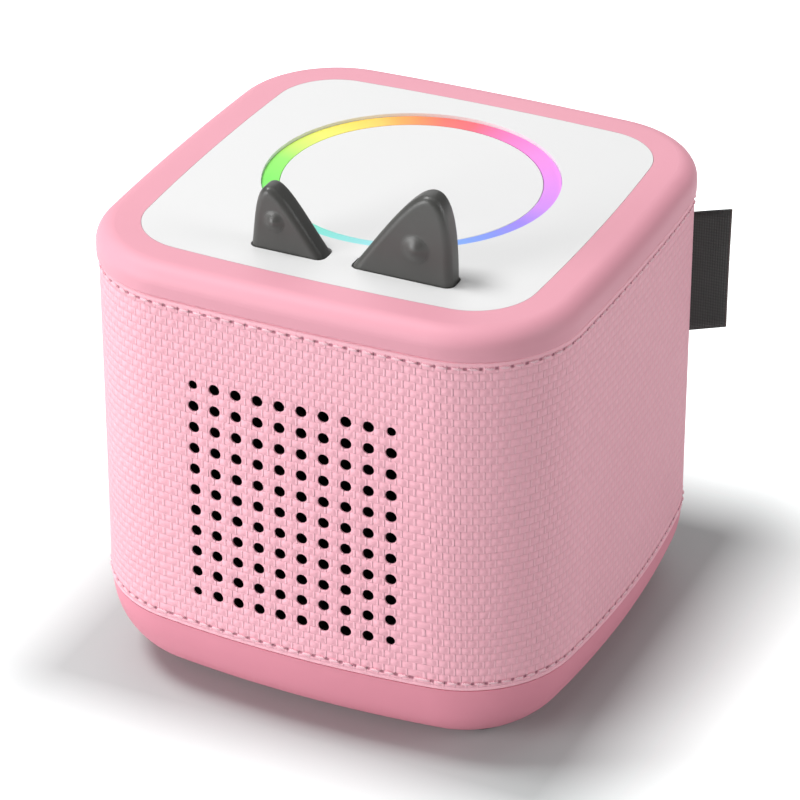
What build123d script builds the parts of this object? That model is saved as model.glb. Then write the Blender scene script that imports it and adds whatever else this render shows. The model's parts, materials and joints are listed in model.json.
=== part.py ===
from build123d import *

import os
from collections import namedtuple
from math import asin, cos, pi, radians, sin, sqrt, tan

# An audio story player: a padded, fabric-covered cube with a speaker behind its front wall, a
# magnetic figure platform inside a ring of light on top, and two ears with press spots.
# Millimetres. +Z is up, the speaker faces -Y, and the origin is under the middle of the box on
# the surface that it stands on.

os.makedirs("parts", exist_ok=True)

# ---------------------------------------------------------------- heights, from the floor up
FOOT_PROUD = 0.5          # how far the rubber feet stand below the cup
CUP_HEIGHT = 20.1         # bottom cup, from its underside to the fabric seam
SLEEVE_HEIGHT = 86.4      # fabric side wall, from seam to rim
RIM_HEIGHT = 7.4          # top rim

# ---------------------------------------------------------------- plan outlines
# Each outline is a square with gently arched sides. "half" is half the width across the
# middle of the sides, "corner" the corner radius and "side" the radius of the arched sides.
SLEEVE_TOP_HALF = 59.8
SLEEVE_TOP_CORNER = 27.4
SLEEVE_FLARE = 1.8        # half width at the foot beyond that at the rim
SLEEVE_FOOT_CORNER = 28.3
SLEEVE_FOOT_SIDE = 278.0
RIM_PROUD = 0.2           # rim beyond the fabric
RIM_CORNER = 26.4
RIM_SIDE = 770.0
RIM_BAND = 10.54          # width of the rim round the top plate
PLATE_CORNER = 15.3
PLATE_SIDE = 625.0

# ---------------------------------------------------------------- walls and edges
FABRIC = 1.2              # woven cover with its backing
FOAM_TOP = 2.1            # padding under the fabric, at the rim
HOUSING_WALL = 2.2
RIM_EDGE = 4.5            # rounding of the rim's upper edge
RIM_LOWER_EDGE = 0.6
RIM_LEDGE = 2.0           # shelf inside the rim that the top plate lies on
RIM_SHELF = 5.46          # how far the top plate laps the rim's opening
RIM_OPENING_CORNER = 10.0
RIM_SKIRT_WALL = 2.0
RIM_SKIRT_DROP = 6.0      # skirt that plugs into the housing
CUP_FLOOR = 3.0
CUP_EDGE = 19.6           # rounding between the cup's side and its underside
CUP_INSET = 0.3           # the fabric stands this far proud of the cup
CUP_LEDGE_DROP = 6.6      # the housing plugs this deep into the cup
CUP_BILGE = 12.0          # inner rounding of the cup

# ---------------------------------------------------------------- clearances
SEAT_GAP = 0.1            # between curved walls that sit in one another
SOFT_GAP = 0.1            # between fabric, padding and what they wrap
PLATE_GAP = 0.1           # round the top plate
SLIDE_GAP = 0.1           # radial, between an ear's press spot and its bore
SCREW_GAP = 0.05          # radial, between a screw and its pilot hole
SCREW_PASS = 0.3          # radial, between a screw and the piece that it passes through
SEAT_DEPTH_GAP = 0.1      # a sunk screw head below the face round it
FOOT_SCREW_GAP = 0.5      # case screw's head to the foot that hides it

# ---------------------------------------------------------------- light ring and platform
RING_CENTRE_Y = 5.6
RING_MARGIN = 14.36       # from the top plate's side to the ring
RING_BAND = 4.1           # radial width of the lit band
RING_STEP = 0.8           # outer edge of the ring below the top plate
PLATFORM_SINK = 1.0       # figure platform below the top plate
PLATE_THICK = 2.0
RING_DEPTH = 3.4          # top plate's face down to the ring's underside
RING_FLANGE = 1.4         # lip that keeps the ring under the plate
REFLECTOR_WALL = 2.0
REFLECTOR_FLOOR = 0.8
REFLECTOR_SEAT = 0.4      # how far the ring lies on each wall of the channel
LED_BOARD_DROP = 7.4      # top plate's face down to the LED board's face
LED_BOARD = 1.6
LED_BOARD_INSIDE = 1.55   # board's margin inside the ring
LED_BOARD_OUTSIDE = 1.9   # and outside it
LED_COUNT = 16
LED_SIZE = 3.0
LED_HEIGHT = 1.4
LED_DOME = 1.1            # radius of the lens on each LED
CHASSIS = 2.0
MAGNET_RADIUS = 6.0
MAGNET_HEIGHT = 3.6
READER_INSET = 2.75       # reader board inside the ring
READER_BOARD = 1.2
READER_DROP = 1.2         # platform's underside down to the reader board's face
READER_BORE = 6.4
COIL_MARGIN = 2.4
COIL_WIDTH = 5.0
COIL_HEIGHT = 0.2
READER_POST_RADIUS = 16.0
READER_POST_WALL = 2.0
PLATFORM_EDGE = 0.2
MAGNET_EDGE = 0.3

# ---------------------------------------------------------------- ears
EAR_SETBACK = 9.11        # the ears' front faces behind the top plate's front side
EAR_COLUMN_GAP = 1.25     # large ear's flange to the column beside it
EARS_APART = 7.0
EAR_THICK = 6.0
EAR_EDGE = 1.8            # rounding of the ears' edges
EAR_SKIN = 1.1
EAR_CORE_GAP = 0.1
EAR_SLOT_GAP = 0.3
EAR_SKIN_DEPTH = 6.0      # how far the skin reaches below the top plate's face
EAR_FLANGE = 1.2
EAR_FLANGE_HEIGHT = 1.4
EAR_BUTTON_DOME = 1.0     # how far the press spot stands out
EAR_BUTTON_COLLAR = 0.5
COLLAR_OVER = 0.5         # how far the collar reaches behind the skin, all round
COLLAR_ROOM = 0.2
EAR_STEM_RADIUS = 0.8
EAR_SWITCH_SIZE = 3.0
EAR_SWITCH_HEIGHT = 1.2
EAR_BOARD_LIP = 0.2       # the board's sides lap the switch pocket by this much
EAR_BOARD_END = 0.4       # and its ends by this much
EAR_BOARD_CORNER = 2.4
EAR_BOARD = 0.7

SMALL_EAR_WIDTH = 18.2
SMALL_EAR_TIP_X = 2.9     # from the ear's left side
SMALL_EAR_TIP_RISE = 19.25  # sharp tip, before rounding, above the top plate
SMALL_EAR_TIP_RADIUS = 3.1
SMALL_EAR_LEFT_BULGE = 0.8
SMALL_EAR_RIGHT_BULGE = 0.15
SMALL_EAR_BUTTON_X = 6.3
SMALL_EAR_BUTTON_RISE = 7.2
SMALL_EAR_BUTTON_RADIUS = 2.4

LARGE_EAR_WIDTH = 24.7
LARGE_EAR_TIP_X = 21.6
LARGE_EAR_TIP_RISE = 26.0
LARGE_EAR_TIP_RADIUS = 5.0
LARGE_EAR_LEFT_BULGE = 1.5
LARGE_EAR_RIGHT_BULGE = 1.2
LARGE_EAR_BUTTON_X = 15.95
LARGE_EAR_BUTTON_RISE = 7.9
LARGE_EAR_BUTTON_RADIUS = 3.2

# ---------------------------------------------------------------- speaker
SPEAKER_HEIGHT = 59.2     # middle of the speaker and of the hole field
HOLE_RADIUS = 1.22
CORNER_HOLE_RADIUS = 1.0
HOLE_PITCH = 5.5
HOLE_COLUMNS = 10
HOLE_ROWS = 11
HOLE_FIELD_X = 0.5        # the field's middle stands this far off the box's middle
WINDOW_MARGIN = 4.0       # padding window beyond the outermost holes
GRILLE_HOLE_GAP = 0.35    # radial, the grille's holes larger than the fabric's
BAFFLE_WIDTH = 68.0
BAFFLE_HEIGHT = 74.0
BAFFLE_INSET = 0.7        # baffle's front plane behind the housing's front
BAFFLE_THICK = 3.0
SPEAKER_OPENING = 23.0
SPEAKER_FLANGE = 52.0
SPEAKER_FLANGE_CORNER = 5.0
SPEAKER_FLANGE_THICK = 1.2
SPEAKER_SCREW_REACH = 22.5
GASKET = 0.8
BASKET_WALL = 1.2
BASKET_FRONT_RADIUS = 24.0
BASKET_BACK_RADIUS = 16.5
BASKET_DEPTH = 14.8
BASKET_WINDOW = 4.2
BASKET_WINDOWS = 6
BASKET_BACK_BORE = 12.0
CONE_RADIUS = 18.9
CONE_DEPTH = 11.0
CONE_PAPER = 0.6
COIL_FORMER_RADIUS = 10.3
COIL_FORMER_WALL = 0.4
COIL_FORMER_LENGTH = 8.0
DUST_CAP_RADIUS = 12.6
DUST_CAP_RISE = 3.0
SURROUND_ROLL = 1.8
SURROUND_SKIN = 0.4
SURROUND_LIP = 24.6
SPIDER_SKIN = 0.4
SPIDER_WAVE = 0.8
SPIDER_BEHIND = 2.4       # behind the cone's rear
MAGNET_GAP = 0.5          # radial, on both sides of the voice coil's former
POLE_PLATE_RADIUS = 15.5
POLE_PLATE = 2.0
FERRITE_RADIUS = 16.0
FERRITE_BORE = 12.0
FERRITE_HEIGHT = 7.0
YOKE = 2.0
TERMINAL_WIDTH = 8.0
TERMINAL_HEIGHT = 3.5
TERMINAL_DEPTH = 5.0
TERMINAL_MARGIN = 0.4     # terminal block above the flange's lower edge
SPEAKER_SCREW_SKIN = 0.4  # baffle left in front of the screws' holes
SPEAKER_SCREW_FREE = 0.6  # empty end of each hole

# ---------------------------------------------------------------- columns, feet and screws
COLUMN_INSET = 18.0       # columns' middles inside the housing's sides
COLUMN_RADIUS = 4.5
COLUMN_RIB = 2.0
CUP_BOSS_RADIUS = 5.0
FOOT_RADIUS = 4.5
FOOT_THICK = 1.5
PILOT_DEPTH = 10.0
CASE_SCREW_RADIUS = 1.5
CASE_SCREW_HEAD = 2.75
CASE_SCREW_HEAD_HEIGHT = 1.7
CASE_SCREW_BITE = 8.0     # length of thread in the pilot hole
SMALL_SCREW_RADIUS = 1.2
SMALL_SCREW_HEAD = 2.2
SMALL_SCREW_HEAD_HEIGHT = 1.4
GUSSET_RADIUS = 5.2

# ---------------------------------------------------------------- batteries
CELL_RADIUS = 7.2
CELL_LENGTH = 50.5
CELL_PITCH = 14.6
CELL_COUNT = 3
CELL_POLE_RADIUS = 2.7
CELL_POLE_HEIGHT = 1.0
CELL_FREE = 0.6           # room round the cells
CELL_EDGE = 0.8
TRAY_WALL = 1.6
DOOR_LAP = 2.1            # door beyond the tray's room, at the front and rear
DOOR_CORNER = 5.0
DOOR_THICK = 2.0
DOOR_GAP = 0.15
DOOR_BOSS_GAP = 0.75      # between the tray and the door's screw bosses
DOOR_SCREW_MARGIN = 3.1   # door's screws from its ends
DOOR_BOSS_RADIUS = 3.0
DOOR_BOSS_HEIGHT = 5.0

# ---------------------------------------------------------------- main board and rear ports
BOARD_INSET = 8.9         # main board's rear face inside the housing's rear
BOARD_GRID = 1.0          # the board's layout step
BOARD_THICK = 1.6
BOARD_WIDTH = 68.0
BOARD_LOW = 24.0
BOARD_HEIGHT = 54.0
BOARD_SCREW_X = 29.0
BOARD_SCREW_MARGIN = 5.0
BOARD_POST_RADIUS = 3.5
PORT_HEIGHT = 34.0
PORT_LENGTH = 32.0
PORT_WIDTH = 12.0
PORT_FLANGE = 3.0
PORT_FLANGE_THICK = 1.2
PORT_PROUD = 0.18         # bezel's face beyond the cover
JACK_X = -8.0
JACK_BODY = 8.0
JACK_BARREL_RADIUS = 3.0
JACK_BORE_RADIUS = 1.8
JACK_BORE_LENGTH = 13.0
USB_X = 7.0
USB_WIDTH = 8.94
USB_HEIGHT = 3.26
USB_SHELL = 0.3
USB_TONGUE_WIDTH = 6.7
USB_TONGUE = 0.7
PORT_RECESS = 0.2         # sockets behind the bezel's face
PORT_HOLE_GAP = 0.25
PORT_HOUSING_GAP = 2.0    # the housing's port opening is this much smaller than the bezel
PORT_EDGE = 0.8
USB_BACK = 4.0            # closed rear end of the socket
USB_TONGUE_SINK = 0.8     # tongue behind the socket's mouth
BOARD_CORNER = 2.0
BOARD_SCREW_BITE = 4.0
CHIP_HEIGHT = 1.2
SHIELD_WIDTH = 20.0
SHIELD_LENGTH = 16.0
SHIELD_HEIGHT = 2.6
SHIELD_SKIN = 0.3
SHIELD_CORNER = 1.0
SHIELD_X = 18.0
SHIELD_BELOW = 2.0        # below the board's middle
CONNECTOR_WIDTH = 8.0
CONNECTOR_HEIGHT = 5.0
CONNECTOR_DEPTH = 6.0
CONNECTOR_X = 14.0
CONNECTOR_LOW = 33.0
RING_CONNECTOR_DROP = 8.0 # board's top edge down to the ring connector's underside
RING_PLUG_ANGLE = 65.0    # place of the ring's plug, from +X towards +Y
LEAD_RADIUS = 0.9
SPEAKER_LEAD_REACH = 11.0 # straight run of the speaker's lead off its terminal
RING_LEAD_REACH = 8.0     # straight run of the ring's lead out of its plug
BOARD_LEAD_REACH = 10.0   # and out of the board's connector
LEAD_DIP = 3.0            # speaker lead's last bend below its lie on the tray
LEAD_LIFT = 0.5           # step of the speaker lead's waves above the tray
BATTERY_LEAD_RISE = 4.0   # battery lead above the cells' axes

# ---------------------------------------------------------------- woven label
LABEL_ANGLE = 30.0        # where it leaves the right rear corner, from +X towards +Y
LABEL_LOW = 67.0
LABEL_HEIGHT = 31.0
LABEL_OUT = 9.6
LABEL_ROOT = 1.9          # length held in the seam
LABEL_THICK = 0.8
LABEL_GAP = 0.05

# ---------------------------------------------------------------- derived places
sleeve_foot_half = SLEEVE_TOP_HALF + SLEEVE_FLARE
rim_half = SLEEVE_TOP_HALF + RIM_PROUD
plate_half = rim_half - RIM_BAND
cup_low = FOOT_PROUD
seam = cup_low + CUP_HEIGHT
rim_low = seam + SLEEVE_HEIGHT
top = rim_low + RIM_HEIGHT
cup_half = sleeve_foot_half - CUP_INSET
cup_corner = SLEEVE_FOOT_CORNER - CUP_INSET
cup_side = SLEEVE_FOOT_SIDE - CUP_INSET
cup_floor_top = cup_low + CUP_FLOOR
cup_ledge = seam - CUP_LEDGE_DROP
housing_half = SLEEVE_TOP_HALF - FABRIC - FOAM_TOP
housing_corner = SLEEVE_TOP_CORNER - FABRIC - FOAM_TOP
housing_side = RIM_SIDE - FABRIC - FOAM_TOP
housing_top = rim_low - SEAT_GAP
plate_low = top - PLATE_THICK
skirt_low = rim_low - RIM_SKIRT_DROP
ledge_low = plate_low - RIM_LEDGE
ring_low = top - RING_DEPTH
platform_top = top - PLATFORM_SINK
board_face = top - LED_BOARD_DROP
chassis_top = board_face - LED_BOARD
column_top = chassis_top - CHASSIS
reader_face = ring_low - READER_DROP
skin_low = top - EAR_SKIN_DEPTH
ring_radius = plate_half - RING_MARGIN
ring_inner = ring_radius - RING_BAND
reader_radius = ring_inner - READER_INSET
coil_outer = reader_radius - COIL_MARGIN
ear_front = EAR_SETBACK - plate_half
column_reach = housing_half - COLUMN_INSET
board_rear = housing_half - BOARD_INSET
port_share = (PORT_HEIGHT - seam) / SLEEVE_HEIGHT
port_face = sleeve_foot_half - port_share * SLEEVE_FLARE + PORT_PROUD


def corner_centre(half, corner, side):
    """How far the corner arcs' centres of a bulged square lie from both middle planes."""
    back = side - half
    return (sqrt(2 * (side - corner) ** 2 - back**2) - back) / 2


def bulged_square(plane, half, corner, side):
    """A sketch on plane: a square whose four sides are arcs of radius side, tangent to
    corner arcs of radius corner, and half is half its width across the middle."""
    back = side - half
    corner_at = corner_centre(half, corner, side)
    stretch = side / (side - corner)
    tangent_x = stretch * (corner_at + back) - back
    tangent_y = stretch * corner_at
    diagonal = corner_at + corner / sqrt(2)
    with BuildSketch(plane) as outline:
        with BuildLine():
            for quarter in range(4):
                arc_points = [
                    (tangent_x, -tangent_y),
                    (half, 0),
                    (tangent_x, tangent_y),
                    (diagonal, diagonal),
                    (tangent_y, tangent_x),
                ]
                turned = [Vector(*point).rotate(Axis.Z, 90 * quarter) for point in arc_points]
                ThreePointArc(*turned[:3])
                ThreePointArc(*turned[2:])
        make_face()
    return outline.sketch


def level(height):
    """The horizontal plane at a height."""
    return Plane.XY.offset(height)


def facing_front(y):
    """The upright plane at y: its x is X, its y is Z, and it faces the front."""
    return Plane.XZ.offset(-y)


def dome_points(radius, rise, base):
    """Three points of a dome's half section, crowned towards -Y: crown, half way, edge."""
    sphere = (radius**2 + rise**2) / (2 * rise)
    half_turn = asin(radius / sphere) / 2
    return [
        (0, base - rise),
        (sphere * sin(half_turn), base - rise + sphere * (1 - cos(half_turn))),
        (radius, base),
    ]


def sleeve_block(inset):
    """The side wall's outer form, filled, drawn in by inset all round."""
    foot = bulged_square(
        level(seam), sleeve_foot_half - inset, SLEEVE_FOOT_CORNER - inset, SLEEVE_FOOT_SIDE - inset
    )
    head = bulged_square(
        level(rim_low), SLEEVE_TOP_HALF - inset, SLEEVE_TOP_CORNER - inset, RIM_SIDE - inset
    )
    with BuildPart() as block:
        loft([foot, head], ruled=True)
    return block.part


def housing_outline(height, grow):
    """The inner housing's outer outline at a height, grown by grow (or shrunk)."""
    return bulged_square(
        level(height), housing_half + grow, housing_corner + grow, housing_side + grow
    )


corner_places = [(sx * column_reach, sy * column_reach) for sx in (-1, 1) for sy in (-1, 1)]
fabric_inside = sleeve_block(FABRIC)
foam_outside = sleeve_block(FABRIC + SOFT_GAP)

# ================================================================ sound holes
# A plain rectangle of holes whose four corner holes are smaller.
hole_places = [
    (HOLE_FIELD_X + HOLE_PITCH * (column - (HOLE_COLUMNS - 1) / 2),
     SPEAKER_HEIGHT + HOLE_PITCH * (row - (HOLE_ROWS - 1) / 2))
    for column in range(HOLE_COLUMNS)
    for row in range(HOLE_ROWS)
]
corner_holes = [
    (HOLE_FIELD_X + side_x * HOLE_PITCH * (HOLE_COLUMNS - 1) / 2,
     SPEAKER_HEIGHT + side_z * HOLE_PITCH * (HOLE_ROWS - 1) / 2)
    for side_x in (-1, 1)
    for side_z in (-1, 1)
]
full_holes = [place for place in hole_places if place not in corner_holes]
window_width = HOLE_PITCH * (HOLE_COLUMNS - 1) + 2 * (HOLE_RADIUS + WINDOW_MARGIN)
window_height = HOLE_PITCH * (HOLE_ROWS - 1) + 2 * (HOLE_RADIUS + WINDOW_MARGIN)

# ================================================================ base
tray_inner_length = CELL_LENGTH + CELL_POLE_HEIGHT + CELL_FREE
tray_inner_width = CELL_PITCH * (CELL_COUNT - 1) + 2 * (CELL_RADIUS + CELL_FREE)
tray_outer_length = tray_inner_length + 2 * TRAY_WALL
tray_outer_width = tray_inner_width + 2 * TRAY_WALL
door_screw_reach = tray_outer_length / 2 + DOOR_BOSS_GAP + DOOR_BOSS_RADIUS
door_length = 2 * (door_screw_reach + DOOR_SCREW_MARGIN)
door_width = tray_inner_width + 2 * DOOR_LAP
tray_top = cup_floor_top + 2 * (CELL_RADIUS + CELL_FREE) + TRAY_WALL
door_top = cup_low + DOOR_THICK
foot_pocket = FOOT_THICK - FOOT_PROUD
cup_screw_seat = cup_low + foot_pocket + CASE_SCREW_HEAD_HEIGHT + FOOT_SCREW_GAP

# Bottom cup: a bowl with a wide rounding, a ledge for the housing, screw bosses and the
# battery opening.
with BuildPart() as cup_hollow:
    extrude(housing_outline(cup_floor_top, -HOUSING_WALL), amount=CUP_HEIGHT)
    fillet(cup_hollow.faces().sort_by(Axis.Z)[0].edges(), radius=CUP_BILGE)

with BuildPart() as bottom_cup:
    extrude(bulged_square(level(cup_low), cup_half, cup_corner, cup_side), amount=CUP_HEIGHT)
    fillet(bottom_cup.faces().sort_by(Axis.Z)[0].edges(), radius=CUP_EDGE)
    add(cup_hollow.part, mode=Mode.SUBTRACT)
    extrude(housing_outline(cup_ledge, SEAT_GAP), amount=CUP_LEDGE_DROP, mode=Mode.SUBTRACT)
    with BuildSketch(level(cup_low + CUP_FLOOR / 2)):
        with Locations(*corner_places):
            Circle(CUP_BOSS_RADIUS)
    extrude(amount=cup_ledge - cup_low - CUP_FLOOR / 2)
    with BuildSketch(level(cup_low + CUP_FLOOR / 2)):
        with Locations((-door_screw_reach, 0), (door_screw_reach, 0)):
            Circle(DOOR_BOSS_RADIUS)
    extrude(amount=CUP_FLOOR / 2 + DOOR_BOSS_HEIGHT)
    with BuildSketch(level(cup_low)):
        RectangleRounded(door_length, door_width, DOOR_CORNER)
    extrude(amount=DOOR_THICK, mode=Mode.SUBTRACT)
    with BuildSketch(level(cup_low)):
        Rectangle(tray_inner_length, tray_inner_width)
    extrude(amount=CUP_FLOOR, mode=Mode.SUBTRACT)
    with BuildSketch(level(cup_low)):
        with Locations(*corner_places):
            Circle(FOOT_RADIUS + SEAT_GAP)
    extrude(amount=foot_pocket, mode=Mode.SUBTRACT)
    with BuildSketch(level(cup_low)):
        with Locations(*corner_places):
            Circle(CASE_SCREW_HEAD + SCREW_PASS)
    extrude(amount=cup_screw_seat - cup_low, mode=Mode.SUBTRACT)
    with BuildSketch(level(cup_low)):
        with Locations(*corner_places):
            Circle(CASE_SCREW_RADIUS + SCREW_PASS)
    extrude(amount=cup_ledge - cup_low, mode=Mode.SUBTRACT)
    with BuildSketch(level(door_top)):
        with Locations((-door_screw_reach, 0), (door_screw_reach, 0)):
            Circle(SMALL_SCREW_RADIUS + SCREW_GAP)
    extrude(amount=DOOR_BOSS_HEIGHT, mode=Mode.SUBTRACT)
bottom_cup.part.label = "bottom_cup"
export_step(bottom_cup.part, "parts/bottom_cup.step")

# Rubber feet, each in a pocket over a case screw.
with BuildPart() as rubber_feet:
    with BuildSketch(Plane.XY):
        with Locations(*corner_places):
            Circle(FOOT_RADIUS)
    extrude(amount=FOOT_THICK)
    fillet(rubber_feet.edges().group_by(Axis.Z)[0], radius=FOOT_PROUD * 0.8)
rubber_feet.part.label = "rubber_feet"
export_step(rubber_feet.part, "parts/rubber_feet.step")


def screw(head_radius, head_height, shank_radius, shank_length):
    """A pan-head screw: its seat at the origin, its shank along -Z, a cross cut in its head."""
    with BuildPart() as body:
        with BuildSketch(Plane.XY):
            Circle(head_radius)
        extrude(amount=head_height)
        fillet(body.edges().group_by(Axis.Z)[-1], radius=head_height * 0.45)
        with BuildSketch(Plane.XY.offset(head_height)):
            Rectangle(head_radius * 1.1, head_radius * 0.22)
            Rectangle(head_radius * 0.22, head_radius * 1.1)
        extrude(amount=-head_height * 0.6, mode=Mode.SUBTRACT)
        with BuildSketch(Plane.XY):
            Circle(shank_radius)
        extrude(amount=-shank_length)
        chamfer(body.edges().group_by(Axis.Z)[0], length=shank_radius * 0.4)
    return body.part


# Case screws: up through the cup into the housing's columns.
case_screw_length = cup_ledge - cup_screw_seat + CASE_SCREW_BITE
cup_screw = screw(CASE_SCREW_HEAD, CASE_SCREW_HEAD_HEIGHT, CASE_SCREW_RADIUS, case_screw_length)
with BuildPart() as cup_screws:
    with Locations(Plane(origin=(0, 0, cup_screw_seat), z_dir=(0, 0, -1))):
        with Locations(*corner_places):
            add(cup_screw)
cup_screws.part.label = "cup_screws"
export_step(cup_screws.part, "parts/cup_screws.step")

# Battery door, flush with the underside, and its two screws in sunk seats.
door_seat = cup_low + SMALL_SCREW_HEAD_HEIGHT + SEAT_DEPTH_GAP
with BuildPart() as battery_door:
    with BuildSketch(level(cup_low)):
        RectangleRounded(
            door_length - 2 * DOOR_GAP, door_width - 2 * DOOR_GAP, DOOR_CORNER - DOOR_GAP
        )
    extrude(amount=DOOR_THICK)
    with BuildSketch(level(cup_low)):
        with Locations((-door_screw_reach, 0), (door_screw_reach, 0)):
            Circle(SMALL_SCREW_HEAD + SCREW_PASS)
    extrude(amount=door_seat - cup_low, mode=Mode.SUBTRACT)
    with BuildSketch(level(cup_low)):
        with Locations((-door_screw_reach, 0), (door_screw_reach, 0)):
            Circle(SMALL_SCREW_RADIUS + SCREW_PASS)
    extrude(amount=DOOR_THICK, mode=Mode.SUBTRACT)
battery_door.part.label = "battery_door"
export_step(battery_door.part, "parts/battery_door.step")

door_screw = screw(
    SMALL_SCREW_HEAD, SMALL_SCREW_HEAD_HEIGHT, SMALL_SCREW_RADIUS, DOOR_BOSS_HEIGHT
)
with BuildPart() as door_screws:
    with Locations(Plane(origin=(0, 0, door_seat), z_dir=(0, 0, -1))):
        with Locations((-door_screw_reach, 0), (door_screw_reach, 0)):
            add(door_screw)
door_screws.part.label = "door_screws"
export_step(door_screws.part, "parts/door_screws.step")

# Battery tray: a box, open below, that stands on the cup's floor.
with BuildPart() as battery_tray:
    with BuildSketch(level(cup_floor_top)):
        RectangleRounded(tray_outer_length, tray_outer_width, TRAY_WALL)
    extrude(amount=tray_top - cup_floor_top)
    with BuildSketch(level(cup_floor_top)):
        Rectangle(tray_inner_length, tray_inner_width)
    extrude(amount=tray_top - cup_floor_top - TRAY_WALL, mode=Mode.SUBTRACT)
battery_tray.part.label = "battery_tray"
export_step(battery_tray.part, "parts/battery_tray.step")

# Rechargeable cells, side by side along X, lying on the door.
cell_axis = door_top + CELL_RADIUS + SEAT_GAP
cell_rows = [CELL_PITCH * (row - (CELL_COUNT - 1) / 2) for row in range(CELL_COUNT)]
with BuildPart() as battery_cells:
    with BuildSketch(Plane.YZ.offset(-(CELL_LENGTH + CELL_POLE_HEIGHT) / 2)):
        with Locations(*[(row, cell_axis) for row in cell_rows]):
            Circle(CELL_RADIUS)
    extrude(amount=CELL_LENGTH)
    fillet(battery_cells.edges().filter_by(GeomType.CIRCLE), radius=CELL_EDGE)
    with BuildSketch(Plane.YZ.offset((CELL_LENGTH - CELL_POLE_HEIGHT) / 2)):
        with Locations(*[(row, cell_axis) for row in cell_rows]):
            Circle(CELL_POLE_RADIUS)
    extrude(amount=CELL_POLE_HEIGHT)
battery_cells.part.label = "battery_cells"
export_step(battery_cells.part, "parts/battery_cells.step")

# ================================================================ side wall
post_places = [
    (sx * BOARD_SCREW_X, z)
    for sx in (-1, 1)
    for z in (BOARD_LOW + BOARD_SCREW_MARGIN, BOARD_LOW + BOARD_HEIGHT - BOARD_SCREW_MARGIN)
]
baffle_rear = BAFFLE_INSET + BAFFLE_THICK - housing_half
speaker_screw_places = [
    (sx * SPEAKER_SCREW_REACH, SPEAKER_HEIGHT + sz * SPEAKER_SCREW_REACH)
    for sx in (-1, 1)
    for sz in (-1, 1)
]
housing_height = housing_top - cup_ledge
wall_middle = housing_half - HOUSING_WALL / 2
column_reach_out = column_reach * sqrt(2)
wall_reach_out = (
    corner_centre(housing_half, housing_corner, housing_side) * sqrt(2)
    + housing_corner
    - HOUSING_WALL / 2
)

# Inner housing: the tube that carries everything, with corner columns on ribs, the speaker
# baffle and the posts for the main board.
with BuildPart() as inner_housing:
    extrude(housing_outline(cup_ledge, 0), amount=housing_height)
    extrude(housing_outline(cup_ledge, -HOUSING_WALL), amount=housing_height, mode=Mode.SUBTRACT)
    with BuildSketch(level(cup_ledge)):
        with Locations(*corner_places):
            Circle(COLUMN_RADIUS)
    extrude(amount=column_top - cup_ledge)
    with BuildSketch(level(cup_ledge)):
        with PolarLocations((column_reach_out + wall_reach_out) / 2, 4, 45):
            Rectangle(wall_reach_out - column_reach_out, COLUMN_RIB)
    extrude(amount=skirt_low - SEAT_GAP - cup_ledge)
    with BuildSketch(facing_front(baffle_rear)):
        with Locations((0, SPEAKER_HEIGHT)):
            Rectangle(BAFFLE_WIDTH, BAFFLE_HEIGHT)
    extrude(amount=BAFFLE_THICK)
    with BuildSketch(facing_front(baffle_rear)):
        with Locations((0, SPEAKER_HEIGHT)):
            Circle(SPEAKER_OPENING)
    extrude(amount=housing_half, mode=Mode.SUBTRACT)
    with BuildSketch(facing_front(baffle_rear)):
        with Locations(*speaker_screw_places):
            Circle(SMALL_SCREW_RADIUS + SCREW_GAP)
    extrude(amount=BAFFLE_THICK - SPEAKER_SCREW_SKIN, mode=Mode.SUBTRACT)
    with BuildSketch(facing_front(board_rear)):
        with Locations(*post_places):
            Circle(BOARD_POST_RADIUS)
    extrude(amount=board_rear - wall_middle)
    with BuildSketch(facing_front(board_rear)):
        with Locations(*post_places):
            Circle(SMALL_SCREW_RADIUS + SCREW_GAP)
    extrude(amount=board_rear - wall_middle + HOUSING_WALL / 2, mode=Mode.SUBTRACT)
    with BuildSketch(facing_front(board_rear)):
        with Locations((0, PORT_HEIGHT)):
            SlotOverall(PORT_LENGTH - PORT_HOUSING_GAP, PORT_WIDTH - PORT_HOUSING_GAP)
    extrude(amount=-housing_half, mode=Mode.SUBTRACT)
    with BuildSketch(level(cup_ledge)):
        with Locations(*corner_places):
            Circle(CASE_SCREW_RADIUS + SCREW_GAP)
    extrude(amount=PILOT_DEPTH, mode=Mode.SUBTRACT)
    with BuildSketch(level(column_top)):
        with Locations(*corner_places):
            Circle(CASE_SCREW_RADIUS + SCREW_GAP)
    extrude(amount=-PILOT_DEPTH, mode=Mode.SUBTRACT)
inner_housing.part.label = "inner_housing"
export_step(inner_housing.part, "parts/inner_housing.step")

# The label stands square to the rounded rear corner, with its root in a slot of the cover.
label_share = (rim_low - LABEL_LOW - LABEL_HEIGHT / 2) / SLEEVE_HEIGHT
head_centre = corner_centre(SLEEVE_TOP_HALF, SLEEVE_TOP_CORNER, RIM_SIDE)
foot_centre = corner_centre(sleeve_foot_half, SLEEVE_FOOT_CORNER, SLEEVE_FOOT_SIDE)
label_centre = head_centre + label_share * (foot_centre - head_centre)
label_surface = SLEEVE_TOP_CORNER + label_share * (SLEEVE_FOOT_CORNER - SLEEVE_TOP_CORNER)
label_direction = (cos(radians(LABEL_ANGLE)), sin(radians(LABEL_ANGLE)), 0)
label_plane = Plane(
    origin=(label_centre, label_centre, LABEL_LOW), x_dir=label_direction, z_dir=(0, 0, 1)
)
label_length = LABEL_ROOT + LABEL_OUT
label_place = label_surface + (LABEL_OUT - LABEL_ROOT) / 2

with BuildPart() as woven_label:
    with BuildSketch(label_plane):
        with Locations((label_place, 0)):
            Rectangle(label_length, LABEL_THICK)
    extrude(amount=LABEL_HEIGHT)
woven_label.part.label = "woven_label"
export_step(woven_label.part, "parts/woven_label.step")


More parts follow.
